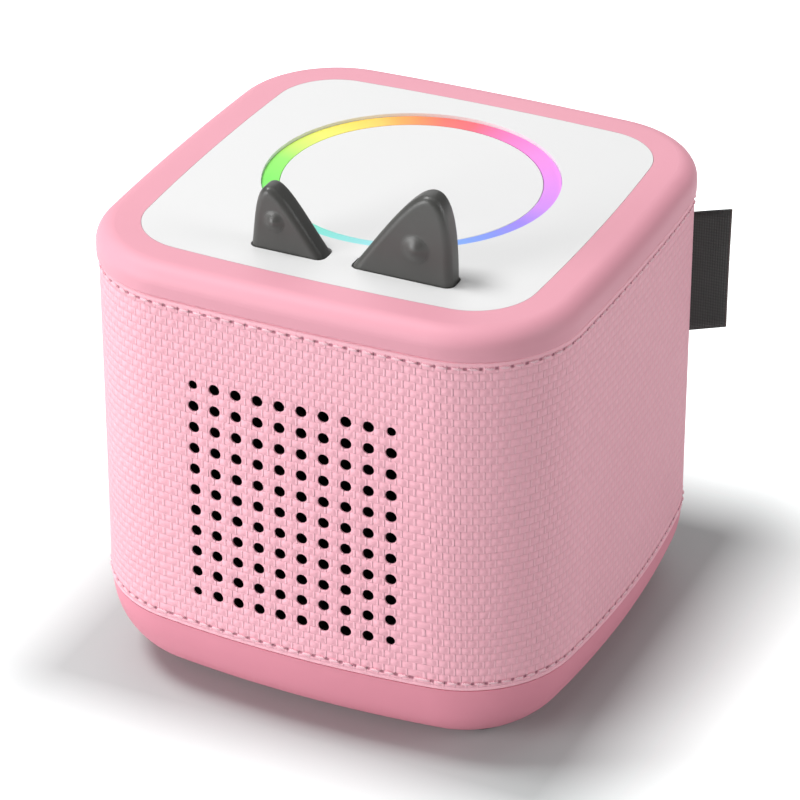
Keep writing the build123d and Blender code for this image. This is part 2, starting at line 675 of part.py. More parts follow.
def label_slot(gap):
    """The room that the label's root takes, grown by gap."""
    with BuildPart() as slot:
        with BuildSketch(label_plane.offset(-gap)):
            with Locations((label_place, 0)):
                Rectangle(label_length + 2 * gap, LABEL_THICK + 2 * gap)
        extrude(amount=LABEL_HEIGHT + 2 * gap)
    return slot.part


root_slot = label_slot(LABEL_GAP)
port_flange_length = PORT_LENGTH + 2 * PORT_FLANGE
port_flange_width = PORT_WIDTH + 2 * PORT_FLANGE

# Foam padding: it fills the room between housing and cover, and is what lets the sides bulge.
with BuildPart() as foam_wrap:
    add(foam_outside)
    extrude(housing_outline(seam, SOFT_GAP), amount=SLEEVE_HEIGHT, mode=Mode.SUBTRACT)
    with BuildSketch(facing_front(0)):
        with Locations((HOLE_FIELD_X, SPEAKER_HEIGHT)):
            Rectangle(window_width, window_height)
    extrude(amount=sleeve_foot_half, mode=Mode.SUBTRACT)
    with BuildSketch(facing_front(0)):
        with Locations((0, PORT_HEIGHT)):
            SlotOverall(port_flange_length + 2 * SOFT_GAP, port_flange_width + 2 * SOFT_GAP)
    extrude(amount=-sleeve_foot_half, mode=Mode.SUBTRACT)
    add(root_slot, mode=Mode.SUBTRACT)
foam_wrap.part.label = "foam_wrap"
export_step(foam_wrap.part, "parts/foam_wrap.step")

# Speaker grille: a curved black plate in the padding's window, with a hole behind each hole
# of the cover.
with BuildPart() as speaker_grille:
    with BuildSketch(facing_front(0)):
        with Locations((HOLE_FIELD_X, SPEAKER_HEIGHT)):
            Rectangle(window_width - 2 * SOFT_GAP, window_height - 2 * SOFT_GAP)
    extrude(amount=sleeve_foot_half)
    add(foam_outside, mode=Mode.INTERSECT)
    extrude(housing_outline(cup_low, SOFT_GAP), amount=top, mode=Mode.SUBTRACT)
    with BuildSketch(facing_front(baffle_rear)):
        with Locations(*full_holes):
            Circle(HOLE_RADIUS + GRILLE_HOLE_GAP)
        with Locations(*corner_holes):
            Circle(CORNER_HOLE_RADIUS + GRILLE_HOLE_GAP)
    extrude(amount=sleeve_foot_half, mode=Mode.SUBTRACT)
speaker_grille.part.label = "speaker_grille"
export_step(speaker_grille.part, "parts/speaker_grille.step")

# Fabric sleeve: woven cover with the sound holes, the port opening and the label's slot.
with BuildPart() as fabric_sleeve:
    add(sleeve_block(0))
    add(fabric_inside, mode=Mode.SUBTRACT)
    with BuildSketch(facing_front(baffle_rear)):
        with Locations(*full_holes):
            Circle(HOLE_RADIUS)
        with Locations(*corner_holes):
            Circle(CORNER_HOLE_RADIUS)
    extrude(amount=sleeve_foot_half, mode=Mode.SUBTRACT)
    with BuildSketch(facing_front(0)):
        with Locations((0, PORT_HEIGHT)):
            SlotOverall(PORT_LENGTH + 2 * SOFT_GAP, PORT_WIDTH + 2 * SOFT_GAP)
    extrude(amount=-2 * sleeve_foot_half, mode=Mode.SUBTRACT)
    add(root_slot, mode=Mode.SUBTRACT)
fabric_sleeve.part.label = "fabric_sleeve"
export_step(fabric_sleeve.part, "parts/fabric_sleeve.step")

# ================================================================ top
skirt_grow = -(HOUSING_WALL + SEAT_GAP)
hollow_grow = skirt_grow - RIM_SKIRT_WALL
rim_screw_seat = plate_low - CASE_SCREW_HEAD_HEIGHT - SEAT_DEPTH_GAP

# Top rim: a rounded band with a shelf for the top plate, a skirt that plugs into the housing
# and four bosses that clamp the chassis onto the columns.
with BuildPart() as top_rim:
    extrude(bulged_square(level(rim_low), rim_half, RIM_CORNER, RIM_SIDE), amount=RIM_HEIGHT)
    fillet(top_rim.faces().sort_by(Axis.Z)[-1].edges(), radius=RIM_EDGE)
    fillet(top_rim.faces().sort_by(Axis.Z)[0].edges(), radius=RIM_LOWER_EDGE)
    extrude(housing_outline(skirt_low, skirt_grow), amount=RIM_SKIRT_DROP + RIM_HEIGHT / 2)
    extrude(housing_outline(skirt_low, hollow_grow), amount=ledge_low - skirt_low,
            mode=Mode.SUBTRACT)
    extrude(
        bulged_square(level(ledge_low), plate_half - RIM_SHELF, RIM_OPENING_CORNER, PLATE_SIDE),
        amount=RIM_HEIGHT,
        mode=Mode.SUBTRACT,
    )
    extrude(
        bulged_square(
            level(plate_low), plate_half + PLATE_GAP, PLATE_CORNER + PLATE_GAP, PLATE_SIDE + PLATE_GAP
        ),
        amount=RIM_HEIGHT,
        mode=Mode.SUBTRACT,
    )
    with BuildSketch(level(ledge_low)):
        with Locations(*corner_places):
            Circle(GUSSET_RADIUS)
    extrude(amount=RIM_LEDGE)
    with BuildSketch(level(chassis_top)):
        with Locations(*corner_places):
            Circle(COLUMN_RADIUS)
    extrude(amount=plate_low - chassis_top)
    with BuildSketch(level(rim_screw_seat)):
        with Locations(*corner_places):
            Circle(CASE_SCREW_HEAD + SCREW_PASS)
    extrude(amount=RIM_HEIGHT, mode=Mode.SUBTRACT)
    with BuildSketch(level(chassis_top)):
        with Locations(*corner_places):
            Circle(CASE_SCREW_RADIUS + SCREW_PASS)
    extrude(amount=RIM_HEIGHT, mode=Mode.SUBTRACT)
top_rim.part.label = "top_rim"
export_step(top_rim.part, "parts/top_rim.step")

# Rim screws: hidden under the top plate, down through rim and chassis into the columns.
rim_screw_length = rim_screw_seat - column_top + CASE_SCREW_BITE
rim_screw = screw(CASE_SCREW_HEAD, CASE_SCREW_HEAD_HEIGHT, CASE_SCREW_RADIUS, rim_screw_length)
with BuildPart() as rim_screws:
    with Locations(*[(x, y, rim_screw_seat) for x, y in corner_places]):
        add(rim_screw)
rim_screws.part.label = "rim_screws"
export_step(rim_screws.part, "parts/rim_screws.step")

Ear = namedtuple(
    "Ear", "left right tip_x tip_rise tip_radius left_bulge right_bulge button_x button_rise button"
)
large_ear_right = column_reach - GUSSET_RADIUS - EAR_COLUMN_GAP - EAR_FLANGE
large_ear_left = large_ear_right - LARGE_EAR_WIDTH
small_ear_right = large_ear_left - EARS_APART
small_ear_left = small_ear_right - SMALL_EAR_WIDTH
ears = {
    "small": Ear(
        small_ear_left, small_ear_right, small_ear_left + SMALL_EAR_TIP_X, SMALL_EAR_TIP_RISE,
        SMALL_EAR_TIP_RADIUS, SMALL_EAR_LEFT_BULGE, SMALL_EAR_RIGHT_BULGE,
        small_ear_left + SMALL_EAR_BUTTON_X, SMALL_EAR_BUTTON_RISE, SMALL_EAR_BUTTON_RADIUS,
    ),
    "large": Ear(
        large_ear_left, large_ear_right, large_ear_left + LARGE_EAR_TIP_X, LARGE_EAR_TIP_RISE,
        LARGE_EAR_TIP_RADIUS, LARGE_EAR_LEFT_BULGE, LARGE_EAR_RIGHT_BULGE,
        large_ear_left + LARGE_EAR_BUTTON_X, LARGE_EAR_BUTTON_RISE, LARGE_EAR_BUTTON_RADIUS,
    ),
}
ear_middle_y = ear_front + EAR_THICK / 2
core_front = ear_front + EAR_SKIN + EAR_CORE_GAP
core_thick = EAR_THICK - 2 * (EAR_SKIN + EAR_CORE_GAP)
ear_inset = EAR_SKIN + EAR_CORE_GAP

# Top plate: flush with the rim, open for the light ring and the two ears.
with BuildPart() as top_plate:
    extrude(
        bulged_square(level(plate_low), plate_half, PLATE_CORNER, PLATE_SIDE), amount=PLATE_THICK
    )
    with BuildSketch(level(plate_low)):
        with Locations((0, RING_CENTRE_Y)):
            Circle(ring_radius + PLATE_GAP)
    extrude(amount=PLATE_THICK, mode=Mode.SUBTRACT)
    for ear in ears.values():
        with BuildSketch(level(plate_low)):
            with Locations(((ear.left + ear.right) / 2, ear_middle_y)):
                RectangleRounded(
                    ear.right - ear.left + 2 * EAR_SLOT_GAP,
                    EAR_THICK + 2 * EAR_SLOT_GAP,
                    EAR_EDGE + EAR_SLOT_GAP,
                )
        extrude(amount=PLATE_THICK, mode=Mode.SUBTRACT)
top_plate.part.label = "top_plate"
export_step(top_plate.part, "parts/top_plate.step")

# Light ring: a frosted band that slopes down towards the platform, with a lip under the plate.
ring_lip_top = plate_low - PLATE_GAP
with BuildPart() as light_ring:
    with BuildSketch(Plane(origin=(0, RING_CENTRE_Y, 0), x_dir=(1, 0, 0), z_dir=(0, -1, 0))):
        with BuildLine():
            Polyline(
                (ring_inner, ring_low),
                (ring_radius + RING_FLANGE, ring_low),
                (ring_radius + RING_FLANGE, ring_lip_top),
                (ring_radius, ring_lip_top),
                (ring_radius, top - RING_STEP),
                (ring_inner, platform_top),
                close=True,
            )
        make_face()
    revolve(axis=Axis((0, RING_CENTRE_Y, 0), (0, 0, 1)))
light_ring.part.label = "light_ring"
export_step(light_ring.part, "parts/light_ring.step")

# Figure platform: the disc inside the ring.
with BuildPart() as figure_platform:
    with BuildSketch(level(ring_low)):
        with Locations((0, RING_CENTRE_Y)):
            Circle(ring_inner - SEAT_GAP)
    extrude(amount=platform_top - ring_low)
    fillet(figure_platform.edges().group_by(Axis.Z)[-1], radius=PLATFORM_EDGE)
figure_platform.part.label = "figure_platform"
export_step(figure_platform.part, "parts/figure_platform.step")

# Holding magnet: glued under the platform.
with BuildPart() as holding_magnet:
    with BuildSketch(level(ring_low)):
        with Locations((0, RING_CENTRE_Y)):
            Circle(MAGNET_RADIUS)
    extrude(amount=-MAGNET_HEIGHT)
    chamfer(holding_magnet.edges().filter_by(GeomType.CIRCLE), length=MAGNET_EDGE)
holding_magnet.part.label = "holding_magnet"
export_step(holding_magnet.part, "parts/holding_magnet.step")

# Tag reader: a round board with a printed coil, round the magnet.
with BuildPart() as reader_board:
    with BuildSketch(level(reader_face)):
        with Locations((0, RING_CENTRE_Y)):
            Circle(reader_radius)
            Circle(READER_BORE, mode=Mode.SUBTRACT)
    extrude(amount=-READER_BOARD)
reader_board.part.label = "reader_board"
export_step(reader_board.part, "parts/reader_board.step")

with BuildPart() as reader_coil:
    with BuildSketch(level(reader_face)):
        with Locations((0, RING_CENTRE_Y)):
            Circle(coil_outer)
            Circle(coil_outer - COIL_WIDTH, mode=Mode.SUBTRACT)
    extrude(amount=COIL_HEIGHT)
reader_coil.part.label = "reader_coil"
export_step(reader_coil.part, "parts/reader_coil.step")

# LED board, its LEDs, and the white channel that keeps their light in the ring.
led_radius = ring_radius - RING_BAND / 2
with BuildPart() as led_board:
    with BuildSketch(level(chassis_top)):
        with Locations((0, RING_CENTRE_Y)):
            Circle(ring_radius + LED_BOARD_OUTSIDE)
            Circle(ring_inner - LED_BOARD_INSIDE, mode=Mode.SUBTRACT)
    extrude(amount=LED_BOARD)
led_board.part.label = "led_board"
export_step(led_board.part, "parts/led_board.step")

with BuildPart() as ring_leds:
    with BuildSketch(level(board_face)):
        with Locations((0, RING_CENTRE_Y)):
            with PolarLocations(led_radius, LED_COUNT):
                Rectangle(LED_SIZE, LED_SIZE)
    extrude(amount=LED_HEIGHT)
    with Locations((0, RING_CENTRE_Y, board_face + LED_HEIGHT)):
        with PolarLocations(led_radius, LED_COUNT):
            Sphere(LED_DOME, arc_size1=-90)
ring_leds.part.label = "ring_leds"
export_step(ring_leds.part, "parts/ring_leds.step")

with BuildPart() as ring_reflector:
    with BuildSketch(level(board_face)):
        with Locations((0, RING_CENTRE_Y)):
            Circle(ring_radius - REFLECTOR_SEAT + REFLECTOR_WALL)
            Circle(ring_inner + REFLECTOR_SEAT - REFLECTOR_WALL, mode=Mode.SUBTRACT)
    extrude(amount=ring_low - board_face)
    with BuildSketch(level(board_face + REFLECTOR_FLOOR)):
        with Locations((0, RING_CENTRE_Y)):
            Circle(ring_radius - REFLECTOR_SEAT)
            Circle(ring_inner + REFLECTOR_SEAT, mode=Mode.SUBTRACT)
    extrude(amount=ring_low - board_face, mode=Mode.SUBTRACT)
    with BuildSketch(level(board_face)):
        with Locations((0, RING_CENTRE_Y)):
            with PolarLocations(led_radius, LED_COUNT):
                Rectangle(LED_SIZE + 2 * SEAT_GAP, LED_SIZE + 2 * SEAT_GAP)
    extrude(amount=REFLECTOR_FLOOR, mode=Mode.SUBTRACT)
ring_reflector.part.label = "ring_reflector"
export_step(ring_reflector.part, "parts/ring_reflector.step")

# ================================================================ ears


def ear_profile(ear, y, inset, low):
    """An ear's outline on the upright plane at y, drawn in by inset, with a straight neck
    that ends at the height low."""
    tip = (ear.tip_x, top + ear.tip_rise)
    left_middle = ((ear.left + ear.tip_x) / 2 - ear.left_bulge, top + ear.tip_rise / 2)
    right_middle = ((ear.right + ear.tip_x) / 2 + ear.right_bulge, top + ear.tip_rise / 2)
    with BuildSketch(facing_front(y)) as outline:
        with BuildLine():
            ThreePointArc((ear.left, top), left_middle, tip)
            ThreePointArc(tip, right_middle, (ear.right, top))
            Polyline(
                (ear.right, top), (ear.right, low - inset), (ear.left, low - inset), (ear.left, top)
            )
        make_face()
        if inset > 0:
            offset(amount=-inset, kind=Kind.INTERSECTION, mode=Mode.REPLACE)
        fillet(outline.vertices().sort_by(Axis.Y)[-1], radius=ear.tip_radius - inset)
    return outline.sketch


collar_front = core_front + SLIDE_GAP
collar_rear = collar_front + EAR_BUTTON_COLLAR
ear_board_front = core_front + core_thick - EAR_BOARD
ear_switch_front = ear_board_front - EAR_SWITCH_HEIGHT

for size, ear in ears.items():
    button_at = (ear.button_x, top + ear.button_rise)
    ear_middle_x = (ear.left + ear.right) / 2
    pocket = ear.button + COLLAR_OVER + COLLAR_ROOM
    board_width = 2 * (pocket + EAR_BOARD_LIP)
    board_length = 2 * (pocket + EAR_BOARD_END)

    # Soft skin: rounded all over, hollow for the core, with a flange under the plate and a
    # bore for the press spot.
    with BuildPart() as ear_skin:
        extrude(ear_profile(ear, ear_front, 0, skin_low), amount=-EAR_THICK)
        side_faces = ear_skin.faces().filter_by(Axis.Y)
        fillet(
            side_faces.edges().filter_by(lambda edge: edge.center().Z > skin_low + 0.01),
            radius=EAR_EDGE,
        )
        with BuildSketch(level(plate_low - SEAT_GAP)):
            with Locations((ear_middle_x, ear_middle_y)):
                RectangleRounded(
                    ear.right - ear.left + 2 * EAR_FLANGE,
                    EAR_THICK + 2 * EAR_FLANGE,
                    EAR_EDGE,
                )
        extrude(amount=-EAR_FLANGE_HEIGHT)
        extrude(
            ear_profile(ear, ear_front + EAR_SKIN, EAR_SKIN, skin_low),
            amount=-(EAR_THICK - 2 * EAR_SKIN),
            mode=Mode.SUBTRACT,
        )
        with BuildSketch(facing_front(ear_middle_y)):
            with Locations(button_at):
                Circle(ear.button + SLIDE_GAP)
        extrude(amount=EAR_THICK, mode=Mode.SUBTRACT)
    ear_skin.part.label = f"{size}_ear_skin"
    export_step(ear_skin.part, f"parts/{size}_ear_skin.step")

    # Stiff core: it stands in the chassis and holds the switch.
    with BuildPart() as ear_core:
        extrude(ear_profile(ear, core_front, ear_inset, column_top), amount=-core_thick)
        with BuildSketch(facing_front(ear_board_front)):
            with Locations(button_at):
                Circle(pocket)
        extrude(amount=EAR_THICK, mode=Mode.SUBTRACT)
        with BuildSketch(facing_front(ear_board_front)):
            with Locations(button_at):
                RectangleRounded(
                    board_width + 2 * SEAT_GAP, board_length + 2 * SEAT_GAP, EAR_BOARD_CORNER
                )
        extrude(amount=-EAR_THICK, mode=Mode.SUBTRACT)
    ear_core.part.label = f"{size}_ear_core"
    export_step(ear_core.part, f"parts/{size}_ear_core.step")

    with BuildPart() as ear_board:
        with BuildSketch(facing_front(ear_board_front)):
            with Locations(button_at):
                RectangleRounded(board_width, board_length, EAR_BOARD_CORNER)
        extrude(amount=-EAR_BOARD)
    ear_board.part.label = f"{size}_ear_board"
    export_step(ear_board.part, f"parts/{size}_ear_board.step")

    with BuildPart() as ear_switch:
        with BuildSketch(facing_front(ear_board_front)):
            with Locations(button_at):
                Rectangle(EAR_SWITCH_SIZE, EAR_SWITCH_SIZE)
                Circle(EAR_STEM_RADIUS + SLIDE_GAP, mode=Mode.SUBTRACT)
        extrude(amount=EAR_SWITCH_HEIGHT)
    ear_switch.part.label = f"{size}_ear_switch"
    export_step(ear_switch.part, f"parts/{size}_ear_switch.step")

    # Press spot: a low dome in front, a collar that keeps it in the skin, and the stem that
    # works the switch.
    stem_end = ear_switch_front + SLIDE_GAP
    with BuildPart() as ear_button:
        with BuildSketch(Plane(origin=(ear.button_x, 0, top + ear.button_rise))):
            with BuildLine():
                ThreePointArc(*dome_points(ear.button, EAR_BUTTON_DOME, ear_front))
                Polyline(
                    (ear.button, ear_front),
                    (ear.button, collar_front),
                    (ear.button + COLLAR_OVER, collar_front),
                    (ear.button + COLLAR_OVER, collar_rear),
                    (EAR_STEM_RADIUS, collar_rear),
                    (EAR_STEM_RADIUS, stem_end),
                    (0, stem_end),
                    (0, ear_front - EAR_BUTTON_DOME),
                )
            make_face()
        revolve(axis=Axis((ear.button_x, 0, top + ear.button_rise), (0, 1, 0)))
    ear_button.part.label = f"{size}_ear_button"
    export_step(ear_button.part, f"parts/{size}_ear_button.step")

# Chassis: the shelf under the top. It lies on the columns, carries the LED board and the
# post of the reader board, and lets the ears' cores and the ring's plug through.
plug_place = (
    led_radius * cos(radians(RING_PLUG_ANGLE)),
    RING_CENTRE_Y + led_radius * sin(radians(RING_PLUG_ANGLE)),
)
with BuildPart() as top_chassis:
    extrude(housing_outline(column_top, hollow_grow - SEAT_GAP), amount=CHASSIS)
    with BuildSketch(level(column_top)):
        with Locations(*corner_places):
            Circle(CASE_SCREW_RADIUS + SCREW_PASS)
    extrude(amount=CHASSIS, mode=Mode.SUBTRACT)
    for ear in ears.values():
        with BuildSketch(level(column_top)):
            with Locations(((ear.left + ear.right) / 2, ear_middle_y)):
                Rectangle(
                    ear.right - ear.left - 2 * ear_inset + 2 * SEAT_GAP, core_thick + 2 * SEAT_GAP
                )
        extrude(amount=CHASSIS, mode=Mode.SUBTRACT)
    with BuildSketch(level(column_top)):
        with Locations(plug_place):
            Rectangle(CONNECTOR_WIDTH + 2 * SCREW_PASS, CONNECTOR_HEIGHT + 2 * SCREW_PASS)
    extrude(amount=CHASSIS, mode=Mode.SUBTRACT)
    with BuildSketch(level(chassis_top)):
        with Locations((0, RING_CENTRE_Y)):
            Circle(READER_POST_RADIUS)
            Circle(READER_POST_RADIUS - READER_POST_WALL, mode=Mode.SUBTRACT)
    extrude(amount=reader_face - READER_BOARD - chassis_top)
top_chassis.part.label = "top_chassis"
export_step(top_chassis.part, "parts/top_chassis.step")

with BuildPart() as ring_plug:
    with BuildSketch(level(chassis_top)):
        with Locations(plug_place):
            Rectangle(CONNECTOR_WIDTH, CONNECTOR_HEIGHT)
    extrude(amount=-CONNECTOR_DEPTH)
ring_plug.part.label = "ring_plug"
export_step(ring_plug.part, "parts/ring_plug.step")

# ================================================================ speaker
# Sections are drawn with the radius along X and the depth along Y, and turned about the
# speaker's axis.
speaker_plane = Plane(origin=(0, 0, SPEAKER_HEIGHT))
speaker_axis = Axis((0, 0, SPEAKER_HEIGHT), (0, 1, 0))
flange_front = baffle_rear + GASKET
flange_rear = flange_front + SPEAKER_FLANGE_THICK
basket_rear = flange_rear + BASKET_DEPTH
ferrite_front = basket_rear + POLE_PLATE
yoke_front = ferrite_front + FERRITE_HEIGHT
former_inner = COIL_FORMER_RADIUS - COIL_FORMER_WALL
cone_rear = flange_front + CONE_DEPTH
surround_middle = CONE_RADIUS + SURROUND_ROLL
spider_y = cone_rear + SPIDER_BEHIND
terminal_z = SPEAKER_HEIGHT - SPEAKER_FLANGE / 2 + TERMINAL_HEIGHT / 2 + TERMINAL_MARGIN

with BuildPart() as speaker_gasket:
    with BuildSketch(facing_front(flange_front)):
        with Locations((0, SPEAKER_HEIGHT)):
            RectangleRounded(SPEAKER_FLANGE, SPEAKER_FLANGE, SPEAKER_FLANGE_CORNER)
            Circle(SURROUND_LIP + SEAT_GAP, mode=Mode.SUBTRACT)
        with Locations(*speaker_screw_places):
            Circle(SMALL_SCREW_RADIUS + SCREW_PASS, mode=Mode.SUBTRACT)
    extrude(amount=GASKET)
speaker_gasket.part.label = "speaker_gasket"
export_step(speaker_gasket.part, "parts/speaker_gasket.step")

# Basket: a square flange, a windowed cone behind it and a terminal block.
with BuildPart() as speaker_basket:
    with BuildSketch(facing_front(flange_rear)):
        with Locations((0, SPEAKER_HEIGHT)):
            RectangleRounded(SPEAKER_FLANGE, SPEAKER_FLANGE, SPEAKER_FLANGE_CORNER)
            Circle(BASKET_FRONT_RADIUS - BASKET_WALL, mode=Mode.SUBTRACT)
        with Locations(*speaker_screw_places):
            Circle(SMALL_SCREW_RADIUS + SCREW_PASS, mode=Mode.SUBTRACT)
    extrude(amount=SPEAKER_FLANGE_THICK)
    with BuildSketch(speaker_plane):
        with BuildLine():
            Polyline(
                (BASKET_FRONT_RADIUS, flange_rear),
                (BASKET_BACK_RADIUS, basket_rear - 2 * BASKET_WALL),
                (BASKET_BACK_RADIUS, basket_rear),
                (BASKET_BACK_BORE, basket_rear),
                (BASKET_BACK_BORE, basket_rear - BASKET_WALL),
                (BASKET_BACK_RADIUS - BASKET_WALL, basket_rear - BASKET_WALL),
                (BASKET_BACK_RADIUS - BASKET_WALL, basket_rear - 2 * BASKET_WALL),
                (BASKET_FRONT_RADIUS - BASKET_WALL, flange_rear),
                close=True,
            )
        make_face()
    revolve(axis=speaker_axis)
    window_y = (flange_rear + basket_rear) / 2 - BASKET_WALL
    for window in range(BASKET_WINDOWS):
        window_plane = Plane(
            origin=(0, window_y, SPEAKER_HEIGHT),
            x_dir=(0, 1, 0),
            z_dir=Vector(1, 0, 0).rotate(Axis.Y, 360 / BASKET_WINDOWS * window),
        )
        with BuildSketch(window_plane):
            Circle(BASKET_WINDOW)
        extrude(amount=BASKET_FRONT_RADIUS, mode=Mode.SUBTRACT)
    with BuildSketch(facing_front(flange_rear)):
        with Locations((0, terminal_z)):
            Rectangle(TERMINAL_WIDTH, TERMINAL_HEIGHT)
    extrude(amount=-TERMINAL_DEPTH)
speaker_basket.part.label = "speaker_basket"
export_step(speaker_basket.part, "parts/speaker_basket.step")

speaker_screw = screw(
    SMALL_SCREW_HEAD, SMALL_SCREW_HEAD_HEIGHT, SMALL_SCREW_RADIUS,
    SPEAKER_FLANGE_THICK + GASKET + BAFFLE_THICK - SPEAKER_SCREW_SKIN - SPEAKER_SCREW_FREE,
)
with BuildPart() as speaker_screws:
    with Locations(Plane(origin=(0, flange_rear, 0), x_dir=(1, 0, 0), z_dir=(0, 1, 0))):
        with Locations(*[(x, -z) for x, z in speaker_screw_places]):
            add(speaker_screw)
speaker_screws.part.label = "speaker_screws"
export_step(speaker_screws.part, "parts/speaker_screws.step")

# Magnet system: pole plate, ferrite ring, and the yoke whose pole stands in the voice coil.
with BuildPart() as pole_plate:
    with BuildSketch(facing_front(basket_rear)):
        with Locations((0, SPEAKER_HEIGHT)):
            Circle(POLE_PLATE_RADIUS)
            Circle(COIL_FORMER_RADIUS + MAGNET_GAP, mode=Mode.SUBTRACT)
    extrude(amount=-POLE_PLATE)
pole_plate.part.label = "speaker_pole_plate"
export_step(pole_plate.part, "parts/speaker_pole_plate.step")

with BuildPart() as ferrite:
    with BuildSketch(facing_front(ferrite_front)):
        with Locations((0, SPEAKER_HEIGHT)):
            Circle(FERRITE_RADIUS)
            Circle(FERRITE_BORE, mode=Mode.SUBTRACT)
    extrude(amount=-FERRITE_HEIGHT)
ferrite.part.label = "speaker_magnet"
export_step(ferrite.part, "parts/speaker_magnet.step")

with BuildPart() as yoke:
    with BuildSketch(facing_front(yoke_front)):
        with Locations((0, SPEAKER_HEIGHT)):
            Circle(POLE_PLATE_RADIUS)
    extrude(amount=-YOKE)
    with BuildSketch(facing_front(yoke_front)):
        with Locations((0, SPEAKER_HEIGHT)):
            Circle(former_inner - MAGNET_GAP)
    extrude(amount=yoke_front - basket_rear)
yoke.part.label = "speaker_yoke"
export_step(yoke.part, "parts/speaker_yoke.step")

# Moving system: paper cone on its coil former, with the dust cap over it.
paper_step = 1.5 * CONE_PAPER
with BuildPart() as speaker_cone:
    with BuildSketch(speaker_plane):
        with BuildLine():
            Polyline(
                (CONE_RADIUS, flange_front),
                (CONE_RADIUS, flange_front + paper_step),
                (COIL_FORMER_RADIUS, cone_rear + paper_step),
                (COIL_FORMER_RADIUS, cone_rear + COIL_FORMER_LENGTH),
                (former_inner, cone_rear + COIL_FORMER_LENGTH),
                (former_inner, cone_rear),
                (COIL_FORMER_RADIUS, cone_rear),
                close=True,
            )
        make_face()
    revolve(axis=speaker_axis)
speaker_cone.part.label = "speaker_cone"
export_step(speaker_cone.part, "parts/speaker_cone.step")

cone_slope = CONE_DEPTH / (CONE_RADIUS - COIL_FORMER_RADIUS)
cap_edge = cone_rear - cone_slope * (DUST_CAP_RADIUS - COIL_FORMER_RADIUS) - SEAT_GAP
with BuildPart() as dust_cap:
    with BuildSketch(speaker_plane):
        with BuildLine():
            outside = dome_points(DUST_CAP_RADIUS, DUST_CAP_RISE, cap_edge)
            inside = dome_points(
                DUST_CAP_RADIUS - 2 * CONE_PAPER, DUST_CAP_RISE - CONE_PAPER, cap_edge
            )
            ThreePointArc(*outside)
            ThreePointArc(*inside)
            Line(outside[0], inside[0])
            Line(outside[-1], inside[-1])
        make_face()
    revolve(axis=speaker_axis)
dust_cap.part.label = "dust_cap"
export_step(dust_cap.part, "parts/dust_cap.step")

# Surround: a half roll between the cone's edge and a lip on the flange.
roll_outer = SURROUND_ROLL + SURROUND_SKIN / 2
roll_inner = SURROUND_ROLL - SURROUND_SKIN / 2
with BuildPart() as surround:
    with BuildSketch(speaker_plane):
        with BuildLine():
            ThreePointArc(
                (surround_middle - roll_outer, flange_front),
                (surround_middle, flange_front - roll_outer),
                (surround_middle + roll_outer, flange_front),
            )
            Line(
                (surround_middle + roll_outer, flange_front),
                (surround_middle + roll_inner, flange_front),
            )
            ThreePointArc(
                (surround_middle + roll_inner, flange_front),
                (surround_middle, flange_front - roll_inner),
                (surround_middle - roll_inner, flange_front),
            )
            Line(
                (surround_middle - roll_inner, flange_front),
                (surround_middle - roll_outer, flange_front),
            )
        make_face()
    revolve(axis=speaker_axis)
    with BuildSketch(facing_front(flange_front)):
        with Locations((0, SPEAKER_HEIGHT)):
            Circle(SURROUND_LIP)
            Circle(surround_middle + roll_inner, mode=Mode.SUBTRACT)
    extrude(amount=SURROUND_SKIN)
surround.part.label = "speaker_surround"
export_step(surround.part, "parts/speaker_surround.step")

# Spider: a rippled disc that centres the coil former.
spider_inner = COIL_FORMER_RADIUS + SEAT_GAP
spider_outer = BASKET_BACK_RADIUS - BASKET_WALL - SEAT_GAP
ripple = (spider_outer - spider_inner) / 4
ripple_points = [
    (spider_inner + ripple * step, spider_y + SPIDER_WAVE * (step % 2)) for step in range(5)
]
with BuildPart() as spider:
    with BuildSketch(speaker_plane):
        with BuildLine():
            Polyline(*ripple_points)
            Polyline(*[(radius, y + SPIDER_SKIN) for radius, y in ripple_points])
            Line(ripple_points[0], (spider_inner, spider_y + SPIDER_SKIN))
            Line(ripple_points[-1], (spider_outer, spider_y + SPIDER_SKIN))
        make_face()
    revolve(axis=speaker_axis)
spider.part.label = "speaker_spider"
export_step(spider.part, "parts/speaker_spider.step")

# ================================================================ main board and rear ports
board_front = board_rear - BOARD_THICK
board_middle = BOARD_LOW + BOARD_HEIGHT / 2
with BuildPart() as main_board:
    with BuildSketch(facing_front(board_rear)):
        with Locations((0, board_middle)):
            RectangleRounded(BOARD_WIDTH, BOARD_HEIGHT, BOARD_CORNER)
        with Locations(*post_places):
            Circle(SMALL_SCREW_RADIUS + SCREW_PASS, mode=Mode.SUBTRACT)
    extrude(amount=BOARD_THICK)
main_board.part.label = "main_board"
export_step(main_board.part, "parts/main_board.step")

board_screw = screw(
    SMALL_SCREW_HEAD, SMALL_SCREW_HEAD_HEIGHT, SMALL_SCREW_RADIUS, BOARD_THICK + BOARD_SCREW_BITE
)
with BuildPart() as board_screws:
    with Locations(Plane(origin=(0, board_front, 0), x_dir=(1, 0, 0), z_dir=(0, -1, 0))):
        with Locations(*post_places):
            add(board_screw)
board_screws.part.label = "board_screws"
export_step(board_screws.part, "parts/board_screws.step")

# Chips on the board's front: place from the board's middle, width and height, in grid steps.
chips = [
    ((-10, 4), 10, 10),
    ((6, 12), 7, 5),
    ((-22, -6), 6, 6),
    ((2, -12), 5, 6),
]
with BuildPart() as board_chips:
    for (across, up), width, height in chips:
        with BuildSketch(facing_front(board_front)):
            with Locations((across * BOARD_GRID, board_middle + up * BOARD_GRID)):
                Rectangle(width * BOARD_GRID, height * BOARD_GRID)
        extrude(amount=CHIP_HEIGHT)
board_chips.part.label = "board_chips"
export_step(board_chips.part, "parts/board_chips.step")

